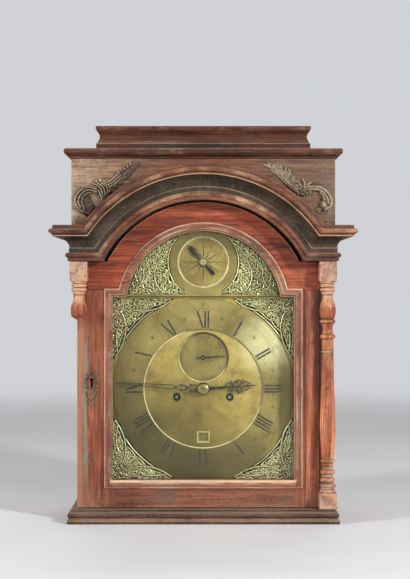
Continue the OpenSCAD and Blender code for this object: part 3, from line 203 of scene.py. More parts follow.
def patchy(n):
    """The columns' worn stain: ochre patches, dark specks, pale upper blocks and feet, and a pale neck above
    the vase that is partly wear and partly a painted highlight.
    """
    z = n.axis(2)
    n.paint(n.span(n.noise(26, 4, 0.6, (1, 1, 0.45)), 0.5, 0.64, 0, 0.45), 206, 150, 92)
    blur = (n.noise(45, 4, 0.6) - 0.5).times_plus(0.016, z)
    n.paint(n.span(blur, 0.322, 0.33) * n.span(blur, 0.356, 0.347) * 0.6, 136, 64, 38)
    # pale above the vase: partly wear, partly a painted highlight on the neck
    n.paint(n.span(blur, 0.35, 0.36) * n.span(n.noise(90, 4, 0.7), 0.38, 0.6, 0.05, 0.62), 200, 164, 136)
    n.paint(n.span(n.attribute("cavity"), 0.05, 0.5, 0, 0.75), 62, 32, 22)
    n.paint(n.span(n.noise(17, 3, 0.5, (1, 1, 0.5)), 0.52, 0.66, 0, 0.7), 112, 42, 26)
    ends = n.span(z, 0.386, 0.394).top(n.span(z, 0.1, 0.055))
    n.paint(ends * n.span(n.noise(60, 5, 0.7), 0.38, 0.6, 0.3, 0.85), 176, 146, 126)
    n.paint(ends * n.span(n.noise(75, 5, 0.75), 0.44, 0.64, 0, 0.7), 96, 58, 42)
    n.paint(n.span(n.noise(210, 2, 0.5), 0.64, 0.72, 0, 0.8), 52, 28, 20)


def ghost(n):
    """The left stile's worn edge, and the pale line that the missing column left."""
    x = n.axis(0) + (n.noise(14, 4, 0.6, (1, 1, 0.5)) - 0.5) * 0.012
    below = n.span(n.axis(2), 0.305, 0.322, 1, 0)
    n.paint(n.span(x, -0.1985, -0.1962, 1, 0) * below * 0.62, 172, 112, 82)
    line = n.span(x, -0.1985, -0.1955) * n.span(x, -0.1905, -0.187, 1, 0) * below
    n.paint(line * n.span(n.noise(120, 4, 0.7, (1, 1, 0.12)), 0.36, 0.62, 0.15, 0.8), 138, 122, 104)


def crack(n):
    """A board's joint across the frieze, and dust at the outer ends."""
    x, z = n.axis(0), n.axis(2)
    off = (z + (n.noise(18, 2) - 0.5) * 0.0016 - 0.5742).size()
    n.paint(n.span(off, 0.0002, 0.0009, 1, 0) * n.span(x, -0.165, -0.15, 1, 0) * 0.85, 34, 22, 17)
    n.paint(n.span(x.size(), 0.14, 0.04) * 0.5, 112, 50, 38)
    n.paint(n.span(x, 0.06, 0.15, 0, 0.42), 74, 46, 36)
    ends = n.span(x, -0.15, -0.207).top(n.span(x, 0.185, 0.212, 0, 0.4))
    chalk = n.span(n.noise(45, 6, 0.7), 0.44, 0.62)
    low = n.span(z, 0.56, 0.47).times_plus(0.45, 0.3)
    n.paint(ends * chalk * low * n.span(n.facing(1), -0.5, -0.9), 176, 168, 152)


def metal(name, dark, mid, light, rough=0.38, scale=30, grime=(44, 38, 22), metallic=0.6, extra=None):
    """Aged metal: cloudy colour, grime in the cavity attribute, bright wear."""
    n = Nodes(name)
    cloud = n.noise(scale, 6, 0.62, distort=0.4)
    grit = n.noise(420, 3, 0.6)
    n.base = n.ramp(cloud * 0.75 + grit * 0.25, [(0.36, srgb(*dark)), (0.5, srgb(*mid)), (0.66, srgb(*light))])
    n.paint(n.span(n.attribute("wear"), 0.25, 0.9, 0, 0.75), *(min(255, c * 1.22) for c in light))
    dirt = n.span(n.attribute("cavity") + cloud * 0.25, 0.3, 0.85)
    n.paint(dirt * 0.93, *grime)
    shine = n.span(cloud, 0.35, 0.7, rough - 0.06, rough + 0.1).plus(dirt * 0.3)
    if extra:
        shine = extra(n, shine)
    return n.done(n.base, shine, grit, 0.00006, Metallic=metallic)


def tarnish(n, shine):
    """Tarnish and painted light on the dial: darker and duller low down and on its left, partly tarnish and
    partly painted shade; a painted shadow, also duller, at its right edge; darker in the arch, partly painted
    shade; and a painted highlight at its upper right.
    """
    x, z = n.axis(0), n.axis(2)
    t = z * 2.6 + x * 1.9 + n.noise(7, 4) * 0.5
    # darker low down and on the left (partly tarnish, partly painted shade), a painted shadow at the right
    # edge, and darker in the arch (partly painted shade)
    low = n.span(t, 0.95, 0.38, 0, 0.85).top(n.span(x, 0.116, 0.13, 0, 0.5)).top(n.span(z, 0.35, 0.42, 0, 0.36))
    n.paint(low, 80, 67, 32)
    # a painted highlight: a bright patch at the dial's upper right, standing for a lamp's reflection
    near = ((x - 0.104).squared() + (z - 0.286).squared()).root()
    n.paint(n.span((n.noise(9, 4) - 0.5).times_plus(0.1, near), 0.07, 0.02, 0, 0.7), 250, 240, 186)
    return low.times_plus(0.12, shine)


def matted(n, shine):
    """The dial plate inside the chapter ring is matted all over with a punch."""
    x, z = n.axis(0), n.axis(2)
    inside = n.span((x * x + (z - CENTRE_Z * MM).squared()).root(), 0.0965, 0.0975, 1, 0)
    punch = n.value("TexVoronoi", {"Vector": n.coord, "Scale": 1100}, "Distance")
    n.paint(n.span(punch, 0.15, 0.5, 0.32, 0) * inside, 70, 60, 30)
    # the plate also gets the dial's tarnish, painted shade and painted highlight
    return tarnish(n, inside.times_plus(0.14, shine))


def edge_tarnish(n, shine):
    """Painted shade: the thin bevels are darker and duller towards the dial's upper right."""
    bevel_shade = n.span(n.axis(0) + (n.axis(2) - CENTRE_Z * MM), 0.045, 0.08, 0, 0.85)
    # painted shade on the bevels' upper right
    n.paint(bevel_shade, 64, 54, 28)
    return bevel_shade.times_plus(0.2, shine)


def glass():
    n = Nodes("old_glass")
    bump = n.value("Bump", {"Height": n.noise(8, 2), "Distance": 0.0004, "Strength": 0.5})
    n.blend(n.value("Fresnel", {"IOR": 1.45}) * 0.35,
            n.value("BsdfTransparent", {"Color": (0.96, 0.975, 0.955)}),
            n.value("BsdfGlossy", {"Color": (0.9, 0.93, 0.92), "Roughness": 0.06, "Normal": bump}))
    return n.mat


RED = (84, 38, 24), (138, 74, 50), (170, 102, 70)
TOPS = (32, 15, 9), (68, 32, 20), (98, 51, 31)
BRASS = (158, 134, 70), (196, 170, 94), (222, 198, 120)
BRIGHT = (206, 186, 114), (236, 218, 148), (250, 238, 182)
LIP = (70, 34, 24), (118, 66, 46), (150, 96, 70)
M = {
    "stile": wood("oak_upright", 2, *RED),
    "stile_left": wood("oak_upright_worn", 2, *RED, extra=ghost),
    "rail": wood("oak_level", 0, (64, 28, 18), (112, 58, 40), (144, 82, 58), dusty=0.25),
    "head": wood("oak_head", 0, (84, 32, 20), (134, 60, 38), (166, 86, 54), dusty=0.2),
    "side": wood("oak_side", 2, *RED, dusty=0.4),
    "lip": wood("oak_lip", 0, *LIP, (228, 190, 158), pale=0.9),
    "lip_up": wood("oak_lip_upright", 2, *LIP, (210, 172, 142), pale=0.9),
    "frieze": wood("oak_frieze", 0, (66, 44, 32), (112, 82, 62), (142, 110, 86), dusty=0.4, extra=crack),
    "frieze_side": wood("oak_frieze_side", 1, (58, 38, 28), (98, 70, 53), (126, 96, 74), dusty=0.25),
    "carving": wood("oak_carving", 0, (36, 26, 20), (58, 44, 33), (92, 74, 56), (186, 168, 140), 0.3, 0.9),
    "carving_pale": wood("oak_carving_worn", 0, (52, 40, 30), (88, 70, 54), (128, 108, 84), (200, 184, 156),
                         0.5, 0.9),
    "column": wood("oak_turned", 2, (118, 48, 28), (192, 112, 72), (224, 150, 104), (226, 190, 158), 0.2, 0.95,
                   patchy, 0.36),
    # painted shade: the mask board, seen in the gap round the door's arch, is nearly black; the door's peg uses
    # it too
    "mask": wood("oak_mask", 2, (26, 17, 13), (44, 28, 21), (60, 40, 29)),
    "pine": wood("pine_back", 2, (112, 80, 50), (150, 112, 74), (176, 138, 96), dusty=0.3),
    "pine_level": wood("pine_level", 0, (104, 74, 46), (142, 106, 70), (168, 130, 90), dusty=0.4),
    # the plate and the ring get the dial's tarnish, painted shade and painted highlight
    "plate": metal("brass_plate", *BRASS, 0.42, extra=matted, metallic=0.4),
    "ring": metal("brass_ring", (122, 105, 56), (156, 136, 76), (186, 166, 100), 0.3, 14, extra=tarnish,
                  metallic=0.35),
    "bright": metal("brass_bright", *BRIGHT, 0.3, grime=(96, 82, 44), metallic=0.35),
    "edge": metal("brass_edge", *BRIGHT, 0.3, grime=(96, 82, 44), metallic=0.35, extra=edge_tarnish),
    "cast": metal("brass_cast", (92, 80, 46), (152, 135, 88), (222, 207, 158), 0.32, 60, (34, 30, 16)),
    "works": metal("brass_works", (128, 100, 46), (166, 134, 66), (190, 158, 86), 0.35),
    "collet": metal("brass_collet", (116, 104, 62), (158, 146, 96), (198, 186, 132), 0.3),
    "key": metal("brass_key_plate", (30, 24, 18), (58, 48, 37), (104, 90, 72), 0.45, 90, (22, 17, 13), 0.5),
    "bell": metal("bell_metal", (120, 104, 72), (150, 134, 98), (176, 160, 122), 0.3),
    "steel": metal("old_steel", (88, 86, 82), (120, 118, 114), (152, 150, 146), 0.4, grime=(50, 38, 28)),
    "blued": metal("blued_steel_worn", (30, 30, 30), (52, 50, 46), (92, 88, 76), 0.42, 30, (12, 12, 14), 0.7),
    "wax": metal("black_wax", (40, 38, 34), (57, 54, 46), (84, 80, 66), 0.6, 120, metallic=0.0),
    "faint": metal("worn_wax", (84, 78, 50), (104, 96, 62), (126, 116, 74), 0.5, 120, metallic=0.3),
    "white": metal("silvered_disc", (122, 104, 62), (146, 127, 78), (168, 148, 96), 0.5, metallic=0.3),
    "glass": glass(),
}
# The mouldings' grain follows them round the corners
for key, colors, worn, dusty, pale in (
        ("caddy", TOPS, (168, 128, 98), 0.2, 0.75),
        ("cove", ((26, 17, 10), (43, 29, 18), (66, 47, 30)), (170, 130, 96), 0.25, 0.8),
        ("bead", ((58, 28, 18), (100, 54, 34), (134, 80, 52)), (206, 160, 124), 0.18, 0.85),
        ("base", ((36, 20, 14), (70, 41, 29), (102, 66, 47)), (194, 156, 124), 0.25, 0.9)):
    M[key] = wood("oak_" + key, 0, *colors, worn, dusty, pale)
    M[key + "_side"] = wood("oak_%s_side" % key, 1, *colors, worn, dusty, pale)


# ------------------------------------------------------------------ mesh helpers
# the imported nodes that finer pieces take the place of
replaced = set()


def add_object(name, data, where=(0, 0, 0), turn=(0, 0, 0)):
    o = bpy.data.objects.new(name, data)
    scene.collection.objects.link(o)
    o.location, o.rotation_euler = where, turn
    return o


def make(name, verts, faces, look, wear=None, cavity=0, dust=0, face_mat=None, angle=38, node=None):
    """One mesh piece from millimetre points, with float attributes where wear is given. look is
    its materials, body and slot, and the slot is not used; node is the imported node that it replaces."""
    mats, body, slot = look
    me = bpy.data.meshes.new(name)
    me.from_pydata((np.asarray(verts, float) * MM).tolist(), [], [list(map(int, f)) for f in faces])
    if wear is not None:
        for k, v in (("wear", wear), ("cavity", cavity), ("dust", dust)):
            v = np.zeros(len(verts), np.float32) + np.asarray(v, np.float32)
            me.attributes.new(k, "FLOAT", "POINT").data.foreach_set("value", v)
    for m in mats.split():
        me.materials.append(M[m])
    if face_mat is not None:
        me.polygons.foreach_set("material_index", np.asarray(face_mat, np.int32))
    bm = bmesh.new()
    bm.from_mesh(me)
    bmesh.ops.recalc_face_normals(bm, faces=bm.faces)
    bm.to_mesh(me)
    bm.free()
    me.shade_smooth()
    me.set_sharp_from_angle(angle=math.radians(angle))
    o = add_object(name, me)
    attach(o, body)
    if node:
        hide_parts(node)
        replaced.add(node)
    return o


def bevel(o, name, width):
    b = o.modifiers.new(name, "BEVEL")
    b.width, b.segments, b.limit_method, b.angle_limit = width * MM, 2, "ANGLE", math.radians(50)


def arc(c, rx, ry, a0, a1, n=20):
    t = np.radians(np.linspace(a0, a1, n + 1))
    return [[c[0] + rx * math.cos(a), c[1] + ry * math.sin(a)] for a in t]


def fine_profile(points, step=0.7):
    """The profile in short steps, its sharp edges slightly worn, with wear and cavity values."""
    p = np.array(points, float)
    out = []
    for a, b in zip(p[:-1], p[1:]):
        k = max(1, int(math.ceil(np.linalg.norm(b - a) / step)))
        out += [a + (b - a) * i / k for i in range(k)]
    q = np.array(out + [p[-1]])
    q = q[np.append(True, np.linalg.norm(np.diff(q, axis=0), axis=1) > 1e-4)]
    near = lambda k: q[np.clip(np.arange(len(q)) - k, 0, len(q) - 1)]
    a, b = q - near(2), near(-2) - q
    turn = (a[:, 0] * b[:, 1] - a[:, 1] * b[:, 0]) / (
        np.linalg.norm(a, axis=1) * np.linalg.norm(b, axis=1) + 1e-6)
    soft = q * 0.75 + (near(1) + near(-1)) * 0.125
    soft[0], soft[-1] = q[0], q[-1]
    return soft, np.clip(turn * 1.6, 0, 1), np.clip(-turn * 1.6, 0, 1)


def wander(n, step, amount, seed):
    """A smooth random line of n values."""
    r = np.random.default_rng(seed)
    k = max(4, n // step)
    return np.interp(np.linspace(0, k - 1, n), np.arange(k), r.normal(0, amount, k))


def grid_faces(rows, cols, wrap_rows=False, wrap_cols=False):
    """Quads of a rows by cols grid of points."""
    r = np.arange(rows if wrap_rows else rows - 1)
    c = np.arange(cols if wrap_cols else cols - 1)
    i, j = np.meshgrid(r, c, indexing="ij")
    i2, j2 = (i + 1) % rows, (j + 1) % cols
    return np.stack([i * cols + j, i * cols + j2, i2 * cols + j2, i2 * cols + j], -1).reshape(-1, 4)


def spread(cols, *values):
    """Each row's value for all its points."""
    return [np.repeat(v, cols) for v in values]


def path_mould(name, profile, hx, fy, back, z0, mats, node, seed, inner=None, dust=0.0):
    """A board's moulded edge round its front and sides, mitred at the corners. profile is
    (projection, height) from the bottom up; the ring is closed at the back, capped on top and
    below, or with inner it is a strip that thick, open at the back."""
    q, wear, cav = fine_profile(profile)
    cell = 7.0
    front = np.linspace(-1, 1, int(2 * hx / cell) + 1)
    side = np.linspace(0, 1, int((back - fy) / cell / 2) + 1)
    n = len(side) - 1

    def run(u, v):
        x = np.concatenate([np.full(n, -(hx + u)), front * (hx + u), np.full(n, hx + u)])
        y = np.concatenate([back + (fy - u - back) * side[:-1], np.full(len(front), fy - u),
                            fy - u + (back - fy + u) * side[1:]])
        return np.stack([x, y, np.full(len(x), z0 + v)], 1)

    g = np.array([run(u, v) for u, v in q])
    cols = g.shape[1]
    # Worn edges stand back a little, unevenly
    for i in np.nonzero(wear > 0.2)[0]:
        d = np.abs(wander(cols, 6, 0.35, seed + i // 4)) * wear[i]
        g[i, n:cols - n, 1] += d[n:cols - n]
        g[i, :, 2] -= d * 0.3 * (1 if i > len(q) / 2 else -1)
    if inner:
        g = np.concatenate([g, [run(-inner, q[-1][1]), run(-inner, q[0][1])]])
    else:
        lip = g[-1].copy()
        lip[:, 0] *= 1 - 6 / hx
        lip[:, 1] = np.where(lip[:, 1] > back - 0.01, back, lip[:, 1] + 6 * (lip[:, 1] < fy + 1))
        g = np.concatenate([g, lip[None]])
    wear, cav = spread(cols, *(np.append(a, [0] * (len(g) - len(q))) for a in (wear, cav)))
    f = grid_faces(len(g), cols, wrap_rows=bool(inner))
    ends = np.arange(len(g)) * cols
    if inner:
        caps = [ends, ends[::-1] + cols - 1]
    else:
        caps = [np.arange(cols)[::-1], ends[-1] + np.arange(cols), np.append(ends[::-1], ends + cols - 1)]
    col = f[:, 0] % cols
    turned = ((col < n) | (col >= cols - 1 - n)).astype(int)
    make(name, g.reshape(-1, 3), list(f) + caps, (mats + " " + mats + "_side", *HOOD), wear, cav, dust,
         np.append(turned, [0] * len(caps)), node=node)


def lathe(name, rows, x, y, look, seed=1, seg=72, along="z", dust=0.0, dent=0.12, top=None,
          hoop=False, node=None):
    """A turned piece from (radius, height) rows, with worn rings; a hoop has a hole through it."""
    q, wear, cav = fine_profile(rows, 0.6)
    t = np.linspace(0, 2 * math.pi, seg, endpoint=False)
    bumps = np.array([wander(seg, 5, 1.0, seed + i // 5) for i in range(len(q))])
    bumps = (bumps + np.roll(bumps, 1, 1) + np.roll(bumps, -1, 1)) / 3
    r = np.maximum(q[:, :1] - np.abs(bumps) * dent * (0.3 + 2.2 * wear[:, None]), 0.3)
    if top:
        r = top(r, q, t)
    v = [x + r * np.cos(t), y + r * np.sin(t)]
    v.insert(2 if along == "z" else 1, q[:, 1:] + 0 * r)
    f = list(grid_faces(len(q), seg, wrap_rows=hoop, wrap_cols=True))
    if not hoop:
        f += [np.arange(seg)[::-1], (len(q) - 1) * seg + np.arange(seg)]
    return make(name, np.stack(v, -1).reshape(-1, 3), f, look, *spread(seg, wear, cav), dust, angle=50,
                node=node)


def dial_hoop(name, y, rows, x, z, mats, slot="engraved_brass", seg=144):
    """A thin ring round (x, z), from rows of radius and height behind y."""
    lathe(name, [(r, y + h) for r, h in rows], x, z, (mats, "root", slot), seg=seg, along="y", dent=0,
          hoop=True)


def worn_box(name, lo, hi, look, cell=9.0, round_by=0.4, wear=1.0, seed=3, dust=0.0):
    """A box with slightly uneven worn edges."""
    lo, hi = np.array(lo, float), np.array(hi, float)
    bm = bmesh.new()
    bmesh.ops.create_cube(bm, size=1)
    for v in bm.verts:
        v.co = [(lo[i] + hi[i]) / 2 + v.co[i] * (hi[i] - lo[i]) for i in range(3)]
    bmesh.ops.bevel(bm, geom=list(bm.edges), offset=round_by, segments=2, profile=0.6,
                    affect="EDGES")
    for i in range(3):
        k = int((hi[i] - lo[i] - 2 * round_by) / cell)
        spots = np.linspace(lo[i] + round_by, hi[i] - round_by, k + 2)[1:-1] if k > 0 else []
        extra = [lo[i] + round_by + 1.2, hi[i] - round_by - 1.2] if hi[i] - lo[i] > 8 else []
        for s in sorted({*spots, *extra}):
            geom = list(bm.verts) + list(bm.edges) + list(bm.faces)
            bmesh.ops.bisect_plane(bm, geom=geom, plane_co=s * np.eye(3)[i], plane_no=np.eye(3)[i])
    v = np.array([p.co[:] for p in bm.verts])
    f = [[p.index for p in face.verts] for face in bm.faces]
    bm.free()
    near = np.sort(np.minimum(v - lo, hi - v), axis=1)[:, 1]
    off = np.random.default_rng(seed).normal(0, 0.25, (len(v), 1))
    off *= np.clip(1 - near[:, None] / (round_by + 0.5), 0, 1)
    make(name, v + np.abs(off) * np.sign((lo + hi) / 2 - v) * 0.5, f, look,
         np.clip(1 - near / (round_by + 0.8), 0, 1) * wear, 0, dust)


def rim_of(use):
    """The grid points on the outline of the cells in use."""
    p = np.pad(use, 1).astype(int)
    touch = p[:-1, :-1] + p[1:, :-1] + p[:-1, 1:] + p[1:, 1:]
    return (touch > 0) & (touch < 4)


def shell(name, use, x, z, front, back, look, wear, cavity, dust, mats_of=None, **more):
    """A closed piece from the grid cells in use, between the depths front and back."""
    n, cols = x.size, use.shape[1] + 1
    i, j = np.nonzero(use)
    at = i * cols + j
    q = np.stack([at, at + cols, at + cols + 1, at + 1], 1)
    parts, cell = [q, q[:, ::-1] + n], [np.arange(len(at))] * 2
    pad = np.pad(use, 1)
    for di, dj, a, b in ((-1, 0, 0, 1), (1, 0, cols + 1, cols), (0, -1, cols, 0), (0, 1, 1, cols + 1)):
        edge = np.nonzero(~pad[i + 1 + di, j + 1 + dj])[0]
        a, b = at[edge] + a, at[edge] + b
        parts.append(np.stack([a, b, b + n, a + n], 1))
        cell.append(edge)
    f = np.concatenate(parts)
    used = np.unique(f)
    pick = lambda v: np.tile(np.broadcast_to(v, n), 2)[used]
    y = np.concatenate([np.broadcast_to(v, n) for v in (front, back)])[used]
    return make(name, np.stack([pick(x), y, pick(z)], 1), np.searchsorted(used, f), look, pick(wear),
                pick(cavity), pick(dust), None if mats_of is None else mats_of[np.concatenate(cell)], **more)


def cell_plate(name, xs, zs, inside, arcs, y0, y1, look, node, edge, dust, part=None, cav=None):
    """A flat board whose outline follows inside(x, z) on a grid, with points near an arc moved
    onto it. edge(x, z) is the distance to the nearest worn edge."""
    X, Z = np.meshgrid(xs, zs, indexing="ij")
    cx, cz = (X[:-1, :-1] + X[1:, 1:]) / 2, (Z[:-1, :-1] + Z[1:, 1:]) / 2
    use = inside(cx, cz)
    x, z = (a.ravel() for a in snap_arcs(X, Z, rim_of(use), arcs))
    o = shell(name, use, x, z, y0, y1, look, np.clip(1 - edge(x, z) / 2.6, 0, 1),
              cav(x, z) if cav else 0, dust(x, z), part(cx[use], cz[use]) if part else None, node=node)
    bevel(o, "worn_edge", 0.8)


def lines(start, *ends):
    """Grid lines from start on: each end, kept as a line, is followed by the step up to it."""
    out = [start]
    for end, step in zip(ends[::2], ends[1::2]):
        out += list(np.linspace(start, end, max(1, int(round((end - start) / step))) + 1))
        start = end
    return np.unique(np.round(out, 4))


# ------------------------------------------------------------------ drawn shapes and reliefs
def curve(points, n=8):
    """A smooth line through the points, n steps to each span; other columns ride along."""
    p = np.array(points, float)
    p = np.vstack([2 * p[0] - p[1], p, 2 * p[-1] - p[-2]])
    out = []
    for a, b, c, d in zip(p, p[1:], p[2:], p[3:]):
        for t in np.arange(n) / n:
            out.append(0.5 * (2 * b + (c - a) * t + (2 * a - 5 * b + 4 * c - d) * t ** 2
                              + (3 * b - a - 3 * c + d) * t ** 3))
    return np.array(out + [p[-2]])


def leaf(x, z, heading, length, curl, width, height=1.0):
    """A stroke (x, z, half width, height) that starts at x, z and curls as it goes."""
    t = np.linspace(0, 1, 9)
    a = np.radians(heading + curl * t)
    step = length / 8
    px = x + np.concatenate([[0], np.cumsum(np.cos(a[:-1]) * step)])
    pz = z + np.concatenate([[0], np.cumsum(np.sin(a[:-1]) * step)])
    w = width * np.clip(np.sin(np.pi * (0.12 + 0.84 * t)) ** 0.8, 0.12, 1)
    return np.stack([px, pz, w, height * (0.65 + 0.5 * t)], 1)


def spiral(x, z, r0, r1, a0, turns, width, height=1.0):
    """A stroke that winds in from radius r0 to r1, with a ball at its end."""
    t = np.linspace(0, 1, 26)
    a = np.radians(a0 + 360 * turns * t)
    r = r0 + (r1 - r0) * t ** 0.85
    w = width * (1 - 0.45 * t)
    w[-1] = width * 1.15
    return np.stack([x + r * np.cos(a), z + r * np.sin(a), w, height * (0.75 + 0.35 * t)], 1)


def sprig(points, leaves, width, size, curl=75):
    """A stem with three ribs, and leaves on both sides: strokes, each with its ribs."""
    n = len(points)
    c = curve(np.column_stack([points, np.linspace(width, width * 0.4, n), np.linspace(2.3, 2.3 * 0.8, n)]))
    out = [(c, 3)]
    for k in range(int(leaves)):
        i = int((k + 0.6) / leaves * (len(c) - 2))
        d = c[i + 1] - c[i]
        a = math.degrees(math.atan2(d[1], d[0]))
        s = size * (1 - 0.45 * k / leaves)
        for side in (1, -1):
            out.append((leaf(c[i][0], c[i][1], a + side * 52, s, -side * curl, s * 0.26, 2.3 * 1.05), 1))
    return out


def table(text):
    """Each row's numbers, in parts that bars divide."""
    return [[[float(v) for v in part.split()] for part in row.split("|")] for row in text.strip().splitlines()]


def pairs(row):
    return np.reshape(row, (-1, 2))


def drawn(text, ribs=0):
    """Strokes, each with its ribs, from rows of a kind and its numbers: those of leaf and spiral,
    or x, z and half width at each point of a line or curve. A curve's start with its steps, and
    a last odd one is the height at its end."""
    out = []
    for row in text.strip().splitlines():
        kind, row = row.split(maxsplit=1)
        v = table(row)[0][0]
        if kind in ("leaf", "spiral"):
            out.append(((leaf if kind == "leaf" else spiral)(*v), ribs))
            continue
        steps = int(v.pop(0)) if kind == "curve" else 0
        end = v.pop() if len(v) % 3 else 1
        p = np.insert(np.reshape(v, (-1, 3)), 3, 1, 1)
        p[-1, 3] = end
        out.append((curve(p, steps) if steps else p, ribs))
    return out


def mirrored(strokes, how):
    """Each stroke and its mirror: how turns one into the other."""
    return [(s, ribs) for st, ribs in strokes for s in (st, how(st))]


def relief(h, passes=10):
    """How far each point stands above its neighbourhood."""
    b = h
    for _ in range(passes):
        p = np.pad(b, 1, mode="edge")
        b = (p[1:-1, 1:-1] * 2 + p[:-2, 1:-1] + p[2:, 1:-1] + p[1:-1, :-2] + p[1:-1, 2:]) / 6
    return h - b


class Field:
    """Strokes stamped on a grid: f is the distance inside them, h the height."""

    def __init__(self, x0, x1, z0, z1, step=0.55):
        self.xs, self.zs, self.step = np.arange(x0, x1, step), np.arange(z0, z1, step), step
        self.X, self.Z = np.meshgrid(self.xs, self.zs, indexing="ij")
        self.f = np.full(self.X.shape, -9.0)
        self.h = np.zeros(self.X.shape)

    def stroke(self, s, ribs=0, dome=0.6, groove=0.22):
        m = s[:, 2].max() + 2
        i0, i1 = np.searchsorted(self.xs, [s[:, 0].min() - m, s[:, 0].max() + m])
        j0, j1 = np.searchsorted(self.zs, [s[:, 1].min() - m, s[:, 1].max() + m])
        if i1 <= i0 or j1 <= j0:
            return
        box = slice(i0, i1), slice(j0, j1)
        X, Z = self.X[box], self.Z[box]
        best = np.full(X.shape, -9.0)
        tall, side = np.zeros(X.shape), np.zeros(X.shape)
        for a, b in zip(s[:-1], s[1:]):
            d = b[:2] - a[:2]
            t = np.clip(((X - a[0]) * d[0] + (Z - a[1]) * d[1]) / (d @ d + 1e-9), 0, 1)
            ex, ez = X - a[0] - t * d[0], Z - a[1] - t * d[1]
            dist = np.hypot(ex, ez)
            w = a[2] + (b[2] - a[2]) * t
            up = w - dist > best
            best[up] = (w - dist)[up]
            side[up] = (np.sign(d[0] * ez - d[1] * ex) * dist / np.maximum(w, 0.01))[up]
            tall[up] = (a[3] + (b[3] - a[3]) * t)[up]
        u = np.clip(np.abs(side), 0, 1)
        cut = groove * (0.5 - 0.5 * np.cos(side * math.pi * ribs)) * (u < 0.95)
        top = tall * (1 - dome * u ** 2.2) * (1 - cut)
        self.f[box] = np.maximum(self.f[box], best)
        self.h[box] = np.where(best > -0.3, np.maximum(self.h[box], top), self.h[box])

    def strokes(self, items, **more):
        for st, ribs in items:
            self.stroke(st, ribs, **more)

    def scatter(self, inside, count, size, height, seed, fan=(0, 0)):
        """Small curled leaves in the empty spots, pointing roughly away from the point fan."""
        r = np.random.default_rng(seed)
        for _ in range(count):
            i, j = np.nonzero((inside > 1.0) & (self.f < -0.5))
            if not len(i):
                return
            k = r.integers(len(i))
            x, z = self.X[i[k], j[k]], self.Z[i[k], j[k]]
            a = math.degrees(math.atan2(z - fan[1], x - fan[0])) + r.uniform(-75, 75)
            length = size * r.uniform(0.7, 1.1)
            turn = r.choice([-1, 1]) * r.uniform(40, 110)
            tall = height * r.uniform(0.8, 1.05)
            for lean, share in ((-48, 0.62), (48, 0.62), (0, 1.0)):
                self.stroke(leaf(x, z, a + lean, length * share, turn + lean * 1.2,
                                 length * 0.24 * share ** 0.5, tall * (0.82 + 0.18 * share)), 1, 0.8)

    def keep(self, *inside):
        """Only what lies inside all of these stays: distance fields, positive within."""
        for f in inside:
            self.f = np.minimum(self.f, f)

    def ground(self, inside, seed):
        """The strokes stop at the outline, on a slightly rough flat ground."""
        self.f = inside
        self.h = np.maximum(self.h, 0.5)
        rough = 0.5 + 0.12 * np.random.default_rng(seed).random(self.h.shape)
        self.h = np.where(self.h < 0.75, rough, self.h)

    def plate(self, name, y, look, edge, low, high, place, dark=1.0, angle=38, dust=0.0, node=None):
        """The mesh: front at y minus the height, back at y, outline on f = 0."""
        f, far = self.f, self.step * 0.8
        pos = (f > 0).astype(int)
        use = pos[:-1, :-1] + pos[1:, :-1] + pos[:-1, 1:] + pos[1:, 1:] >= 2
        g = np.gradient(f, self.step)
        rim = rim_of(use)
        x, z = (np.where(rim, p + np.clip(-f * k / (g[0] ** 2 + g[1] ** 2 + 0.05), -far, far), p).ravel()
                for p, k in ((self.X, g[0]), (self.Z, g[1])))
        h = np.where(rim, np.minimum(self.h, edge), self.h)
        share = np.clip((h.ravel() - low) / (high - low), 0, 1)
        d = relief(h).ravel() / (0.1 * high)
        cav = np.clip(np.clip(1 - share * 2.2, 0, 1) * 0.7 * dark + np.clip(-d, 0, 1) * 0.7, 0, 1)
        wear = np.clip(np.clip(share * 2 - 1, 0, 1) * 0.3 + np.clip(d, 0, 1) * 0.9, 0, 1)
        shell(name, use, *place(x, z), y - h.ravel(), y, look, wear, cav, dust, angle=angle, node=node)


def strips(name, items, y, mats, body="root", slot="ring_brass", proud=0.06):
    """Flat inlaid lines on the surface y: each item is points and half widths, one closed prism."""
    verts, faces = [], []
    for pts, half in items:
        p = np.array(pts, float)
        d = np.gradient(p, axis=0)
        side = np.stack([-d[:, 1], d[:, 0]], 1)
        side = side / (np.linalg.norm(side, axis=1)[:, None] + 1e-9) * np.broadcast_to(half, len(p))[:, None]
        k, b = len(p), len(verts)
        for s, depth in ((1, -proud), (-1, -proud), (-1, 0.03), (1, 0.03)):
            verts += [(q[0], y + depth, q[1]) for q in p + s * side]
        for i in range(k - 1):
            for c in range(4):
                a0, a1 = b + c * k + i, b + (c + 1) % 4 * k + i
                faces.append([a0, a0 + 1, a1 + 1, a1])
        faces += [[b, b + k, b + 2 * k, b + 3 * k],
                  [b + k - 1, b + 4 * k - 1, b + 3 * k - 1, b + 2 * k - 1]]
    make(name, verts, faces, (mats, body, slot))


def clock_xy(t, r, angle, cz=CENTRE_Z):
    """From along the tangent and out along the radius to x and z, angle clockwise from twelve."""
    a = math.radians(angle)
    return np.stack([r * math.sin(a) + t * math.cos(a), cz + r * math.cos(a) - t * math.sin(a)], -1)


def circle(r, cz, t):
    """Points at the angles t, clockwise from the top."""
    return np.stack([r * np.sin(t), cz + r * np.cos(t)], 1)


def circles(radii, half, cz=CENTRE_Z):
    return [(circle(r, cz, np.linspace(0, 2 * math.pi, 181)), half) for r in radii]


def ticks(count, r0, r1, half, cz=CENTRE_Z):
    return [(clock_xy(np.zeros(2), np.array([r0, r1]), 360 / count * i, cz), half(i)) for i in range(count)]


# ------------------------------------------------------------------ the case
HOOD, DOOR = ("hood", "case_wood"), ("door", "case_wood")


def turned_ring(z0, z1, r):
    h = (z1 - z0) / 2
    return arc([r - h, (z0 + z1) / 2], h, h, -90, 90, 10)


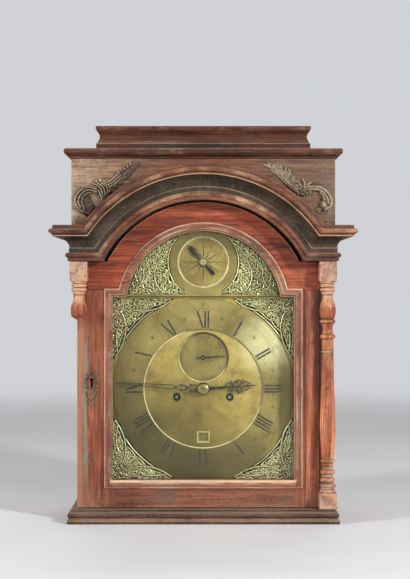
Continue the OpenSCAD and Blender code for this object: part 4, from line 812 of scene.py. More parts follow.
ENT = [[.165, 0], [.165, .08]] + arc([.15, .16], .115, .072, -90, 90) + [[.105, .235], [.105, .37]] \
    + arc([.8, .37], .715, .31, 180, 90, 30) + [[.85, .69], [.85, .755]] \
    + arc([.88, .83], .12, .07, -90, 90) + [[.82, .905], [.82, 1]]
BASE = [[1, 0], [1, .26], [.8, .28], [.8, .38]] + arc([.55, .62], .4, .23, -80, 80) + [[.5, .88], [.5, 1]]
TOP = [[.25, 0]] + arc([.9, 0], .65, .36, 180, 100, 12) + arc([.72, .68], .28, .3, -70, 90)
CADDY = [[0, 0], [0, .3], [-.5, .32], [-.5, .36]] + arc([.3, .56], 1.4, .22, 205, 140, 16) \
    + [[-.3, .8], [0, .84]] + arc([-.1, .92], .3, .06, -60, 60, 10) + [[0, 1]]
LOW = [[10, 47.8]] + turned_ring(47.8, 54.7, 13.3) + [[11.4, 55.4], [11.4, 57.4]] \
    + turned_ring(57.9, 62.7, 13.3) + [[10.6, 63.6]] + turned_ring(65, 73.7, 12) \
    + [[9.6, 74.8], [9.6, 77.4]] + turned_ring(78, 86.5, 11.7) + [[8.8, 88], [8.5, 91.5], [9.2, 95.5]] \
    + turned_ring(97.3, 103.1, 11.6) + curve([[9.8, 104.6], [10.6, 112], [12, 135], [12.8, 156.9],
                                              [11.8, 188.4], [10.4, 231.5], [9.5, 273.3]], 6).tolist() \
    + turned_ring(274.9, 277.8, 10.6) + [[9.3, 279], [9.3, 295.8]] + turned_ring(297.1, 304.7, 12.5) \
    + curve([[9, 306.5], [8.2, 313.5], [9.4, 319.6]], 5).tolist()
VASE = arc([10, 343.2], 3.2, 12.5, -80, 20, 16) + curve([[13.0, 347.6], [11.8, 353], [9.4, 360],
                                                         [8.5, 368.2]], 5).tolist() \
    + [[10.4, 370.7], [10.4, 373.4]] + turned_ring(373.8, 379.5, 12.6) + turned_ring(380.2, 386.3, 12.6) \
    + [[11.8, 387.4], [13.6, 392], [13.6, 396]]


def sized(p, w, h):
    return [[a * w, b * h] for a, b in p]


def entablature():
    """The moulding over the door: straight, then mitred up into the arch and down again."""
    q, wear, cav = fine_profile(sized(ENT, ENT_W, ENT_H))
    q = np.vstack([q, [[0, ENT_H], [0, 0]]])
    wear, cav = np.append(wear, [0, 0]), np.append(cav, [0, 0])
    side, run, bow = 26, 9, 61
    rows = []
    for k, (u, v) in enumerate(q):
        z, r = FRIEZE_Z + v, ARCH_R + v
        xm = math.sqrt(r * r - (z - ARCH_Z) ** 2)
        hx, y = FRIEZE_W + u, FRIEZE_Y - u
        bend = circle(r, ARCH_Z, np.linspace(math.atan2(xm, z - ARCH_Z), 0, bow))
        half = np.zeros((side + run - 2 + bow, 3)) + [hx, y, z]
        half[:side - 1, 1] = np.linspace(BACK_Y, y, side)[:-1]
        half[side - 1:-bow, 0] = np.linspace(hx, xm, run)[:-1]
        half[-bow:, [0, 2]] = bend
        full = np.concatenate([half * [-1, 1, 1], half[-2::-1]])
        if wear[k] > 0.15:
            d = np.abs(wander(len(full), 4, 0.4, 40 + k // 5)) * wear[k]
            full[:, 1] += d * (np.abs(full[:, 0]) < hx - 1)
        rows.append(full)
    g = np.array(rows)
    n, cols = g.shape[:2]
    ends = np.arange(n) * cols
    f = list(grid_faces(n, cols, wrap_rows=True)) + [ends, ends[::-1] + cols - 1]
    # the cove is darker and dustier, and on the sides the grain runs back
    h = q[:, 1] / ENT_H
    in_cove = (h > .245) & (h < .685)
    cove = (in_cove & np.roll(in_cove, -1)).astype(int)
    j = np.arange(cols - 1)
    turned = 2 * (np.minimum(j, cols - 2 - j) < side - 1)
    make("entablature", g.reshape(-1, 3), f, ("bead cove bead_side cove_side", "hood", "dark_wood"),
         *spread(cols, wear, cav, np.where(in_cove, 0.08, 0.04)),
         np.append((cove[:, None] + turned).ravel(), [0, 0]), node="entablature_moulding")


def in_arch(x, z, r, cz):
    return x * x + (z - cz) ** 2 < r * r


def snap_arcs(X, Z, rim, arcs):
    """Outline points near an arc move onto it along their radius, above the height z0."""
    for r, cz, z0 in arcs:
        d = np.hypot(X, Z - cz)
        m = rim & (np.abs(d - r) < 3.4) & (Z > z0 + 0.01)
        d = np.maximum(d, 1)
        X, Z = np.where(m, X * r / d, X), np.where(m, cz + (Z - cz) * r / d, Z)
    return X, Z


def frieze_front():
    xs = lines(-FRIEZE_W, -205, 2, 205, 4.1, FRIEZE_W, 2)
    zs = lines(FRIEZE_Z, 430, 3.5, 586, 4, FRIEZE_TOP, 2)
    cell_plate("frieze_front", xs, zs, lambda x, z: ~in_arch(x, z, ARCH_R, ARCH_Z),
               [(ARCH_R, ARCH_Z, FRIEZE_Z)], FRIEZE_Y, FRIEZE_Y + 20, ("frieze", *HOOD), "frieze",
               edge=lambda x, z: np.minimum(FRIEZE_W - np.abs(x), 9),
               dust=lambda x, z: np.clip((np.abs(x) - 150) / 60, 0, 1) * np.where(x < 0, 0.6, 0.2))


def in_door(x, z):
    return ((z < DOOR_TOP) | in_arch(x, z, DOOR_R, LIGHT_ARC_Z)) & ~(
        ((np.abs(x) < LIGHT_W) & (z > LIGHT_Z) & (z < SHOULDER_Z))
        | ((z > SHOULDER_Z) & in_arch(x, z, LIGHT_R, LIGHT_ARC_Z))
        | ((np.abs(x - KEY_X) < 1.7) & (z > KEY_Z - KEY_SLOT - .4) & (z < KEY_Z))
        | in_arch(x - KEY_X, z, 3, KEY_Z))


def door_part(x, z):
    """Which board of the door: head, bottom rail, right stile or left stile."""
    return np.select([z > RAIL_Z, (z < LIGHT_Z) & (np.abs(x) < LIGHT_W), x > 0], [0, 1, 2], 3)


def door_edge(x, z):
    d = np.minimum(np.minimum(HALF_W - np.abs(x), z - DOOR_Z), 9)
    return np.where(z > DOOR_TOP, np.abs(DOOR_R - np.hypot(x, z - LIGHT_ARC_Z)), d)


def door_joints(x, z):
    """Dark lines at the boards' joints, and two long lines of painted shadow on the right stile, beside the lip
    and the column.
    """
    line = lambda d, w: np.clip(1 - np.abs(d) / w, 0, 1)
    c = line(z - RAIL_Z, 1.2) * (np.abs(x) > 152) * 0.8
    c = np.maximum(c, line(np.abs(x) - LIGHT_W - 1.5, 1.2) * (z < LIGHT_Z) * 0.7)
    # painted shadows of the lip and the column, as two dark lines down the right stile
    for shadow_x, w in ((165.5, 2.4), (189, 2.6)):
        c = np.maximum(c, line(x - shadow_x, w) * (z < RAIL_Z) * 0.75)
    return c


def door_board():
    ax = math.sqrt(LIGHT_R ** 2 - 20 ** 2)
    bx = math.sqrt(DOOR_R ** 2 - (DOOR_TOP - LIGHT_ARC_Z) ** 2)
    right = lines(0, ax, 3, LIGHT_W, 3, LIGHT_W + 3, 1.5, bx, 2.6, 163, 3.5, 168, 1.25, 186, 3, 192, 1.5,
                  202, 3.3, HALF_W, 1.5)
    key = lines(KEY_X - 3.4, KEY_X - 1.7, .85, KEY_X + 1.7, .85, KEY_X + 3.4, .85)
    left = -right[np.abs(right + KEY_X) > 3.6]
    xs = np.unique(np.concatenate([left, key, right]))
    zs = lines(DOOR_Z, DOOR_Z + 3, 1.5, LIGHT_Z, 3.4, KEY_Z - 12.4, 3.4, KEY_Z + 3.6, .8, SHOULDER_Z, 3.4,
               374.8, 3.3, 377.2, .6, DOOR_TOP, 3, 519, 3)
    cell_plate("door_boards", xs, zs, in_door,
               [(DOOR_R, LIGHT_ARC_Z, DOOR_TOP), (LIGHT_R, LIGHT_ARC_Z, SHOULDER_Z)], DOOR_Y, DOOR_BACK,
               ("head rail stile stile_left", *DOOR), "door_frame", door_edge,
               lambda x, z: np.clip((60 - z) / 60, 0, 1) * 0.35 + (x < -195) * 0.15, door_part, door_joints)


def lip():
    """The raised moulding round the door's glass, with returns at the shoulders."""
    prof = [[0, -.4], [0, .8], [1.2, 1.7], [3.6, 3.1]] + arc([6.2, 1.6], 2.6, 2.4, 140, 90, 6) \
        + [[9.6, 4], [12, 3.75], [13.1, 3], [13.5, 2], [13.5, -.4]]
    # this profile runs the other way round, so outward turns come out as hollows
    q, hollow, wear = fine_profile(prof, 0.55)
    q = np.vstack([q, [[9, -.4], [4, -.4]]])
    wear, cav = np.append(np.clip(wear * 1.3, 0, 1), [0, 0]), np.append(hollow * 0.2, [0, 0])
    rows = []
    for k, (d, up) in enumerate(q):
        r, z0, z1, xb = LIGHT_R + d, LIGHT_Z - d, SHOULDER_Z + d, LIGHT_W + d
        xa = math.sqrt(r * r - (z1 - LIGHT_ARC_Z) ** 2)
        corners = ((0, z0, 34), (xb, z0, 70), (xb, z1, 6), (xa, z1, 0))
        half = np.concatenate([np.linspace(a[:2], b[:2], a[2])[:-1] for a, b in zip(corners, corners[1:])]
                              + [circle(r, LIGHT_ARC_Z, np.linspace(math.atan2(xa, z1 - LIGHT_ARC_Z), 0, 45))])
        loop = np.concatenate([half, half[-2:0:-1] * [-1, 1]])
        y = np.full(len(loop), DOOR_Y - up)
        if wear[k] > 0.15:
            y = y + np.abs(wander(len(loop), 4, 0.22, 90 + k // 3)) * wear[k]
        rows.append(np.insert(loop, 1, y, 1))
    g = np.array(rows)
    rings, cols = g.shape[:2]
    x, _, z = g.reshape(-1, 3).T
    wear, cav, near = spread(cols, wear, cav, q[:, 0] < 3.5)
    low = (z < LIGHT_Z + 2) & near
    upright = (np.abs(x) > LIGHT_W - 1) & (z < SHOULDER_Z)
    f = grid_faces(rings, cols, wrap_rows=True, wrap_cols=True)
    make("door_lip", g.reshape(-1, 3), f, ("lip lip_up", *DOOR), np.where(low, 1.0, wear), cav,
         np.where(low, 0.35, 0.1) + np.where((x < -140) & near, 0.25, 0), upright[f[:, 0]] & upright[f[:, 2]])


def broken(r, q, t):
    """The stub's lower end: snapped off on a slant, and rubbed round."""
    lean = 3.5 * np.cos(t - 0.6) + 1.4 * np.sin(3 * t + 1)
    fade = np.clip((q[:, 1][:, None] - 331 - lean[None]) / 7, 0, 1) ** 0.5
    return np.maximum(r * fade, 0.4)


def case():
    lathe("turned_column", [[PIN, 12.3], [PIN, 30], [10, 30]] + LOW + turned_ring(322.5, 328.5, 12.9)
          + [[10, 329.5]] + VASE + [[PIN, 397], [PIN, 433.2]], COLUMN_X, COLUMN_Y, ("column", *DOOR), 11,
          dust=0.12, node="door_column")
    lathe("broken_vase", [[0.4, 327.6], [7, 328], [9.6, 330]] + VASE + [[2, 397]], -COLUMN_X, COLUMN_Y,
          ("column", *DOOR), 21, dust=0.15, top=broken, node="column_stub")
    for name, x, z0, z1, d in (("column_foot", COLUMN_X, DOOR_Z, 48.8, .55),
                               ("column_head", COLUMN_X, 390.6, DOOR_TOP, .2),
                               ("stub_head", -COLUMN_X, 390.6, DOOR_TOP, .25)):
        worn_box(name, (x - BLOCK, COLUMN_Y - 14, z0), (x + BLOCK, COLUMN_Y + 14, z1), ("column", *DOOR),
                 3, 1.0, seed=int(abs(x) + z0), dust=d)
    path_mould("base_mould", sized(BASE, 14, 22.5), HALF_W, BASE_Y, BACK_Y, 0, "base", "base_moulding", 3,
               16.0, 0.08)
    path_mould("top_mould", sized(TOP, 11.4, 16), FRIEZE_W, FRIEZE_Y, BACK_Y, FRIEZE_TOP, "caddy",
               "top_board", 5)
    path_mould("caddy_mould", sized(CADDY, 5, 40), CADDY_W, CADDY_Y, CADDY_BACK, CADDY_Z, "caddy", "caddy",
               8)
    entablature()
    frieze_front()
    for s, n in ((-1, "left"), (1, "right")):
        lo, hi = sorted((s * HALF_W, s * FRIEZE_W))
        worn_box("frieze_side_" + n, (lo, FRIEZE_Y + 20, FRIEZE_Z), (hi, BACK_Y, FRIEZE_TOP),
                 ("frieze_side", *HOOD), wear=0.3, seed=30 + s, dust=0.1)
    door_board()
    lip()
    worn_box("door_peg", (-171.8, DOOR_Y - 0.5, 27.2), (-165.6, DOOR_Y + 3, 33.4), ("mask", *DOOR), seed=5)


# Both carvings, from the frieze's side and its top. Strands: ribs, half widths and heights at both
# ends, and points; lumps: x, z, radius and height.
CARVED = {"left": """
7 | 8.5 7 5 4 | 19 -60 23 -70 28 -80 29 -86
2 | 2.8 2.6 9.5 11.5 | 40 -50 33 -47.5 24 -47.5 15 -53 8.5 -61 6.5 -69 9.5 -77
2 | 2.6 2.3 9 10.5 | 40 -54 32 -51.5 24 -52 17.5 -57 12.5 -64 11.5 -71 15 -79
2 | 2 1.9 6.5 8 | 31 -55.5 25 -57 20 -61.5 17 -67 17.5 -74 21 -82
2 | 3 2.4 9 5.5 | 9.5 -77 14 -83 22 -88 30 -89
2 | 2.4 1.4 9 6 | 34 -44 41 -49 47 -58 50 -67
2 | 2.2 1.4 10 6 | 38 -42 46 -47 50 -56 51.5 -66
2 | 2.2 1.4 9.5 5.5 | 43 -41 51 -46 54 -55 53 -64
2 | 2.2 1.4 8.5 5 | 49 -40.5 57 -45 58.5 -53 55 -62
2 | 2 1.3 7 4.5 | 55 -41 61.5 -46 62 -52 58 -58
2 | 1.8 1.5 7.5 8.5 | 54 -41 64 -36 72 -29 78 -23
2 | 1.8 1.4 7.5 8 | 55 -44.5 65 -40 73 -33.5 79 -28
2 | 1.7 1.3 6.5 6.5 | 57 -48.5 66 -44 73 -39 80 -32
3 | 5.6 5 4.2 5 | 66 -41 76 -34 88 -25 97 -15 101 -11
36 -41 2.6 8 41 -38 3 9 47 -36.6 3.4 9.5 53 -38.5 2.8 8.5 76 -22.5 2.3 7.5 80.5 -19.5 2.4 7.5
85.5 -16.5 2.3 7.5 90.5 -13.5 2.3 7.2 95.5 -9.8 2.4 7 102.5 -8.6 4.6 7 62 -53.5 2.8 4
71 -45.5 3 4 78.5 -39.5 3.2 4.2 86 -31.5 3 4.2 93 -24.5 2.8 4 99.5 -17 2.6 4
""", "right": """
4 | 6.5 4.5 4 3.5 | 62 -47 52 -53 42 -54
5 | 6 7.5 1.8 2.4 | 96 -16 80 -29 66 -42
2 | 1.9 2.9 6.5 11.5 | 60 -50 50 -47 38 -46.5 24 -47.5 14.5 -54 8.5 -63 7 -71 10 -79 17 -82
2 | 2.3 2.2 6 10 | 56 -52 46 -50.5 36 -50 25 -51.5 18 -57 13 -65 12 -72
2 | 1.4 2 7 9 | 24 -55 20 -60 17 -67
2 | 5.2 4 3.6 3.6 | 25 -82 17 -85
2 | 3 1.5 7 5 | 50 -48 49.5 -41 52 -34
2 | 2.6 1.3 7 5 | 45 -47 43.5 -42 39 -39
2 | 2.8 1.4 6.5 5 | 56 -48 57.5 -42 62 -37
2 | 2.6 1.6 6 3.4 | 62 -51 71 -45 80 -36.5 87 -27.5 100 -17 114 -11
2 | 1.8 1.2 5 3 | 60 -54.5 70 -49 80 -40.5 88 -31.5 98 -23
2 | 3 1.3 4.2 3 | 101 -17 97 -13 93 -8
2 | 3 1.4 4.4 3.2 | 94 -23 90 -18 86 -11
2 | 3 1.4 4.6 3.4 | 87 -28 82.5 -23 79 -15.5
2 | 3 1.4 4.8 3.6 | 81 -35 76 -30 72.5 -22
2 | 3 1.4 5.2 4 | 74 -41 69 -37 65.5 -30
19.5 -75.5 5.4 11.5 46 -56.5 3 4.5 53 -58 3 4.5 60 -56 2.6 4.5 107 -10 2.6 3 88.5 -8.5 2 3
74.5 -19 2 3.4
"""}


def carved(text):
    """The strokes of one carving."""
    out = []
    for row, *more in table(text):
        if more:
            w0, w1, h0, h1 = more[0]
            p = pairs(more[1])
            ends = np.linspace((w0, h0), (w1, h1), len(p))
            out.append((curve(np.hstack([p, ends]), 6), row[0]))
        else:
            out += [(np.array([(x, z, r, h), (x + 0.8, z - 0.5, r * 0.9, h * 0.9)]), 1)
                    for x, z, r, h in np.reshape(row, (-1, 4))]
    return out


def carvings():
    for s, n, mat, dust in ((-1, "left", "carving", 0.1), (1, "right", "carving_pale", 0.55)):
        F = Field(0, 120, -94, 2)
        F.strokes([(st * [1, 1, 1.28, 1], ribs) for st, ribs in carved(CARVED[n])], dome=0.62, groove=0.3)
        k = 1.6 * np.random.default_rng(50 + s).normal(0, 1, F.h.shape)
        for _ in range(3):
            k = (k + np.roll(k, 1, 0) + np.roll(k, 1, 1) + np.roll(k, -1, 0)) / 4
        F.h = np.clip(F.h + k * (F.h > 2), 0.3, 12)
        F.h -= relief(F.h, 2) * 0.85
        F.keep(np.hypot(F.X - FRIEZE_W, F.Z + FRIEZE_TOP - ARCH_Z) - (ARCH_R + ENT_H + 0.5), -1.0 - F.Z)
        F.plate("carving_" + n, FRIEZE_Y, (mat, "hood", "dark_wood"), 0.5, 1.5, 9.5,
                lambda x, z: (s * (FRIEZE_W - x), FRIEZE_TOP + z), dark=0.9, dust=dust, angle=70,
                node="carvings" if s < 0 else None)


def key_plate():
    F = Field(-14, 14, -35, 35, 0.3)
    ring = [(6.4 * math.cos(a), 16 + 12.5 * math.sin(a), 1.9, 1.0)
            for a in np.linspace(math.pi / 2, math.pi * 2.5, 17)]
    F.stroke(curve(ring, 3))
    F.strokes(mirrored(drawn("""
curve 5 1 29 1.5 4 32 1.3 0 34 .9
leaf 5 24 20 8 90 1.4 .9
leaf 6 12 -10 7 80 1.5 .9
leaf 5 6 -30 8 100 1.5 .9
leaf 3 -6 10 9 -100 1.4 .9
leaf 3 -14 20 8 -90 1.3 .9
leaf 2 -22 30 6 -80 1.1 .9
curve 5 4.5 4 1.5 1 -1 1.2 5.5 -7 1.3 1 -13 1.2 4 -19 1.2 0 -25 1.1 0 -33 .7 .8
spiral 8.5 -3 3 .6 90 1.2 1"""), lambda st: st * [-1, 1, 1, 1]))
    F.strokes(drawn("spiral 8.5 20 3 .6 200 -1.2 1\nspiral -8.5 20 3 .6 200 1.2 1"))
    up = F.Z - (KEY_Z - PLATE_Z)
    slot = np.maximum(np.abs(F.X) - 1.4, np.maximum(up, -KEY_SLOT - up))
    F.keep(np.hypot(F.X, up) - 2.6, slot, 12.5 - np.abs(F.X), 33 - np.abs(F.Z))
    F.plate("key_plate", DOOR_Y, ("key", "door", "old_brass"), 0.55, 0.3, 1.2,
            lambda x, z: (KEY_X + x, PLATE_Z + z), dark=0.7, node="escutcheon")


# ------------------------------------------------------------------ the dial
def bow(r, cz, a0, a1, n, width, height, wave=0.0):
    """A stroke without ribs along a circle, from angle a0 to a1, wavy or not."""
    t = np.radians(np.linspace(a0, a1, n))
    return np.column_stack([circle(r + wave * np.sin(24 * t), cz, t), 0 * t + width, 0 * t + height]), 0


def sprigs(text):
    """From rows of leaves, width, size, curl | the stem's points."""
    return [s for a, p in table(text) for s in sprig(pairs(p), *a)]


def scrolls(text):
    """Raised lines of even width through rows of points."""
    return [(curve([(*p, 1.5, 3.1) for p in pairs(row)], 6), 0) for row, in table(text)]


def spandrel(F, name, place, node):
    """The field as a piece of cast brass on the dial plate."""
    F.plate(name, DIAL_Y, ("cast", "root", "cast_brass"), 0.6, 0.7, 3.0, place, angle=80, node=node)


def corner_spandrels():
    """Drawn from the dial's centre; each half is the other's mirror across the diagonal."""
    swap = lambda st: st[:, [1, 0, 2, 3]]
    half = [bow(152.2, 0, 18, 45, 20, 1.2, 1.7), bow(157.5, 0, 19, 45, 40, 1.0, 1.9, 1.6)] + sprigs("""
7 1.7 7.5 70 | 113 113 127 108 137 96 143 80 146 62 147 52
5 1.6 8 80 | 118 118 130 122 141 118 146 106 144 94
4 1.9 9 60 | 116 116 126 128 136 140 144 145""") + drawn("""
spiral 136 128 8 1.2 200 1.3 1.5 2.7
spiral 141 86 5.4 1 60 -1.3 1.2 2.6
spiral 124 113 5.5 1 300 1.4 1.3 2.6
spiral 143.5 70 3.4 .8 90 1.3 1 2.4""")
    half += [(leaf(145, 143 - 9 * i, 188 - 4 * i, 9, 60, 2.1, 2.4), 1) for i in range(9)]
    half += [(leaf(112 + 5 * i, 110 - 1.5 * i, 20, 8, 90, 1.9, 2.5), 1) for i in range(4)]
    over = scrolls("145 52 136 66 130.5 80 127.5 98 130 116 136 128\n141 62 143 80 141.5 96 136 104")
    lo, hi = 48.0, 148.5
    for i, (sx, sz) in enumerate(((-1, -1), (1, -1), (-1, 1), (1, 1))):
        F = Field(lo - 1, hi + 1, lo - 1, hi + 1)
        F.strokes(mirrored(half, swap), dome=0.75)
        r = np.hypot(F.X, F.Z)
        inside = np.minimum.reduce([hi - 0.2 - F.X, 147.8 - F.Z, r - 149.6, (F.X + F.Z - lo - hi + 1) / 1.42])
        F.scatter(np.minimum(inside, r - 158.5), 110, 9.5, 2.7, 60 + i)
        F.strokes(mirrored(over, swap), dome=0.7)
        F.ground(inside, i)
        spandrel(F, "corner_%d" % i, lambda x, z: (sx * x, CENTRE_Z + sz * z),
                 None if i else "corner_spandrels")


def arch_spandrels():
    F = Field(28, 126, 367, 466)
    ring, rim = np.hypot(F.X, F.Z - DIAL_ARCH_Z), np.hypot(F.X, F.Z - LIGHT_ARC_Z)
    inside = np.minimum.reduce([ring - 55.7, 126.6 - rim, F.X - 30, F.Z - 369.2, 463.8 - F.Z])
    F.strokes([bow(58.2, DIAL_ARCH_Z, 24, 152, 50, 1.2, 1.8), bow(124.6, LIGHT_ARC_Z, 18, 78, 40, 1.1, 1.6)])
    F.strokes(sprigs("""
9 1.6 8 | 64 374 72 392 74 412 70 432 60 450 44 462
6 1.6 8 | 60 373 78 376 98 376 112 374 122 371
6 1.5 8 | 74 384 88 392 96 404 94 418 84 432
4 1.4 7 | 84 378 98 388 106 400 108 394
3 1.2 5 | 33 371 44 374 54 372
3 1.2 6 | 60 438 72 440 80 436"""), dome=0.75)
    F.strokes(drawn("""
spiral 84 408 8 1.2 180 1.4 1.5 2.7
spiral 103 383 6.5 1 30 -1.4 1.3 2.7
spiral 78 428 6 1 200 -1.3 1.2 2.7
spiral 66 447 4.5 1 90 1.3 1.1 2.7
spiral 92 396 5 1 300 1.2 1.2 2.7
spiral 114 380 4 .8 200 1.2 1 2.7"""))
    F.scatter(np.minimum(inside, ring - 61), 150, 10.0, 2.7, 71, (40, 372))
    F.strokes(scrolls("""
66 372 76 384 80 400 77 416 68 430
116 374 104 384 98 398 98 412 90 424
84 372 92 378 100 377
52 452 60 446 64 438"""), dome=0.7)
    F.ground(inside, 9)
    for s, n in ((-1, "left"), (1, "right")):
        spandrel(F, "arch_corner_" + n, lambda x, z: (s * x, z), "arch_spandrels" if s < 0 else None)


WIDTH = {"I": 5.2, "V": 11.5, "X": 11.5}
HALF_HOUR = (([(0, 118), (0, 128.5)], [.25, .25]), ([(0, 114), (0, 118), (0, 122)], [.1, 1.2, .1]),
             ([(-3, 121), (-2.4, 117.4), (0, 116)], [.3, .5, .2]),
             ([(3, 121), (2.4, 117.4), (0, 116)], [.3, .5, .2]))
SHAPES = {
    "0": [arc([0, 0], .5, .5, 90, 450, 14)], "1": [[(-.22, .3), (0, .5), (0, -.5)]],
    "2": [arc([0, .22], .42, .28, 160, -30, 8) + [(-.45, -.5), (.48, -.5)]],
    "3": [arc([-.05, .25], .42, .25, 150, -90, 8) + arc([-.05, -.25], .48, .25, 90, -150, 8)],
    "4": [[(.2, -.5), (.2, .5), (-.5, -.18), (.5, -.18)]],
    "5": [[(.42, .5), (-.35, .5), (-.4, .06)] + arc([-.02, -.17], .46, .33, 130, -150, 9)],
    "6": [[(.3, .5), (-.1, .3), (-.42, -.1)] + arc([0, -.2], .44, .3, 170, 500, 10)],
    "7": [[(-.45, .5), (.45, .5), (-.1, -.5)]],
    "8": [arc([0, .26], .36, .24, 90, 450, 10), arc([0, -.24], .46, .26, 90, 450, 10)],
    "9": [[(-.3, -.5), (.1, -.3), (.42, .1)] + arc([0, .2], .44, .3, -10, 320, 10)],
}


def letter(c):
    """A letter's thick strokes, and its thin ones with the serifs: (x, r, x, r, half width)."""
    foot, head = R_FOOT, R_HEAD
    serifs = lambda w, *at: [(x - w, r, x + w, r, 0.28) for x, r in at]
    if c == "I":
        return [(0, foot, 0, head, 1.45)], serifs(2.3, (0, foot), (0, head))
    if c == "V":
        return [(-4.2, head, 0.3, foot, 1.35)], [(4.4, head, 0.6, foot, 0.32)] + serifs(
            2.2, (-4.2, head), (4.4, head))
    return [(-4.4, head, 4.4, foot, 1.35)], [(4.4, head, -4.4, foot, 0.32)] + serifs(
        2.3, (-4.4, foot), (-4.4, head), (4.4, foot), (4.4, head))


def digits(number, w, h, half, place):
    """A plain number, centred, in strokes; place turns its x and z into the piece's."""
    text = str(number)
    out = []
    for i, c in enumerate(text):
        t = (i - (len(text) - 1) / 2) * w * 1.25
        out += [(place(*(np.array(line, float) * (w, h) + (t, 0)).T), half) for line in SHAPES[c]]
    return out


def numerals():
    """Roman hours cut in the ring and filled with wax: strong strokes dark, thin ones worn."""
    thick, thin = [], []
    for k, text in enumerate("XII I II III IIII V VI VII VIII IX X XI".split()):
        at = -sum(WIDTH[c] for c in text) / 2
        for c in text:
            at += WIDTH[c] / 2
            for box, rows in zip((thick, thin), letter(c)):
                for x0, r0, x1, r1, half in rows:
                    x, r = np.linspace((at + x0, r0), (at + x1, r1), 3).T
                    box.append((clock_xy(x, r, 30 * k), half))
            at += WIDTH[c] / 2
    strips("hour_numerals", thick, RING_Y, "wax", proud=0.07)
    # quarter-hour track inside, minute track outside, half-hour marks between
    thin += circles((TRACK_IN, TRACK_OUT, 99.2), 0.16)
    thin += ticks(60, TRACK_IN, TRACK_OUT, lambda i: 0.16 if i % 5 else 0.55)
    thin += ticks(48, 97.9, 99.2, lambda i: 0.16)
    for i in range(12):
        thin += [(clock_xy(*np.transpose(line), 30 * i + 15), half) for line, half in HALF_HOUR]
        thin += digits(5 * i or 60, 3.0, 5.6, 0.3, lambda x, z: clock_xy(x, 138.0 + z, 30 * i))
    strips("minute_track", thin, RING_Y, "faint")
    # raised, finely bevelled edges
    for name, a, b, step, mat in (("inner", 96.8, 98.3, 0.2, "edge"),
                                  ("outer", 147.95, 147.3, -0.2, "bright")):
        rows = [(a, 1.4), (a, -0.05), (a + step, -0.2), (b, -0.1), (b, 0.02)]
        dial_hoop("ring_edge_" + name, RING_Y, rows, 0, CENTRE_Z, mat, "ring_brass", 240)


def arch_dial():
    """Twelve rays by turns straight and wavy, inside a bright cut circle."""
    rays = []
    r = np.linspace(10, 34.5, 16)
    for i in range(12):
        tip, more, wave = (0.22, 0.55, 1.3) if i % 2 else (0.2, 0.75, 0)
        rays.append((clock_xy(wave * np.sin((r - 10) * 0.62), r, 30 * i, DIAL_ARCH_Z),
                     tip + more * (1 - (r - 10) / 25)))
    strips("arch_rays", rays + circles((9, 36.5), 0.2, DIAL_ARCH_Z), DIAL_Y, "wax", slot="engraved_brass",
           proud=0.07)
    dial_hoop("arch_bezel", DIAL_Y, [(40.2, .1), (40.2, -.5), (40.8, -1), (41.6, -1.3), (42.2, -1.3),
                                     (42.2, .1)], 0, DIAL_ARCH_Z, "bright")


def seconds_dial():
    """A bevelled edge down to the sunk disc, with its own rays."""
    dial_hoop("seconds_bevel", DIAL_Y, [(42.3, -.25), (41.7, -.45), (38.4, 2.2), (38.4, 2.45), (41.7, 2.45),
                                        (42.1, -.1)], 0, SECONDS_Z, "edge")
    fine = circles((37.6, 34.4), 0.14, SECONDS_Z) + ticks(60, 34.4, 37.9, lambda i: 0.14, SECONDS_Z)
    for i in range(6):
        fine += digits(10 * i or 60, 2.4, 4.2, 0.24, lambda x, z: clock_xy(x, 30.5 + z, 60 * i, SECONDS_Z))
    r = np.linspace(7, 25, 8)
    fine += [(clock_xy(0 * r, r, 15 * i + 7.5, SECONDS_Z), 0.5 * (1 - (r - 7) / 19) + 0.08) for i in range(24)]
    strips("seconds_lines", fine, SECONDS_Y, "faint", slot="engraved_brass")


def openings():
    """The calendar opening's bevelled frame and the numbers behind it, and the winding holes' rings."""
    w, h = 9.0, 7.75
    v = [(sx * (w + out), DIAL_Y + back, CENTRE_Z - DATE_R + sz * (h + out))
         for out, back in ((1.3, -.02), (1.3, -.5), (.5, -.6), (-1.1, 1.6), (-1.1, 2.4), (0, 2.4), (0, -.02))
         for sx, sz in ((-1, -1), (1, -1), (1, 1), (-1, 1))]
    make("calendar_frame", v, grid_faces(7, 4, wrap_rows=True, wrap_cols=True),
         ("bright", "root", "engraved_brass"))
    for s, n in ((-1, "strike"), (1, "going")):
        dial_hoop("winding_ring_" + n, DIAL_Y, [(6.25, -.02), (6.4, -.35), (7, -.4), (7.5, -.15), (8.1, -.35),
                                                (8.6, -.02)], s * WIND_X, WIND_Z, "ring", seg=64)
    # at the bottom of the date ring the numbers stand upright
    strips("calendar_numbers", [s for k in range(31) for s in digits(
        k + 1, 5.2, 8.6, 0.55, lambda x, z: clock_xy(-x, DATE_R - z, 180 + (k - 22) * 360 / 31))],
        DATE_Y, "faint", "date_ring")


# ------------------------------------------------------------------ the hands
def hand(name, half, whole, angle, y, thick, hole, body, node, cz=CENTRE_Z, span=(-30, 150, -13, 13)):
    """A pierced hand drawn along +x, the half mirrored across it, turned to its angle from twelve."""
    F = Field(*span, 0.22)
    F.strokes(mirrored(drawn(half), lambda st: st * [1, -1, 1, 1]) + drawn(whole), dome=0.35)
    F.keep(np.hypot(F.X, F.Z) - hole)
    F.h = np.clip(F.h, 0.35, 1) * thick
    a = math.radians(90 - angle)
    ca, sa = math.cos(a), math.sin(a)
    F.plate(name, y + thick, ("blued", body, "blued_steel"), thick * 0.55, -1, thick,
            lambda x, z: (x * ca - z * sa, cz + x * sa + z * ca), 0.0, 50, node=node)


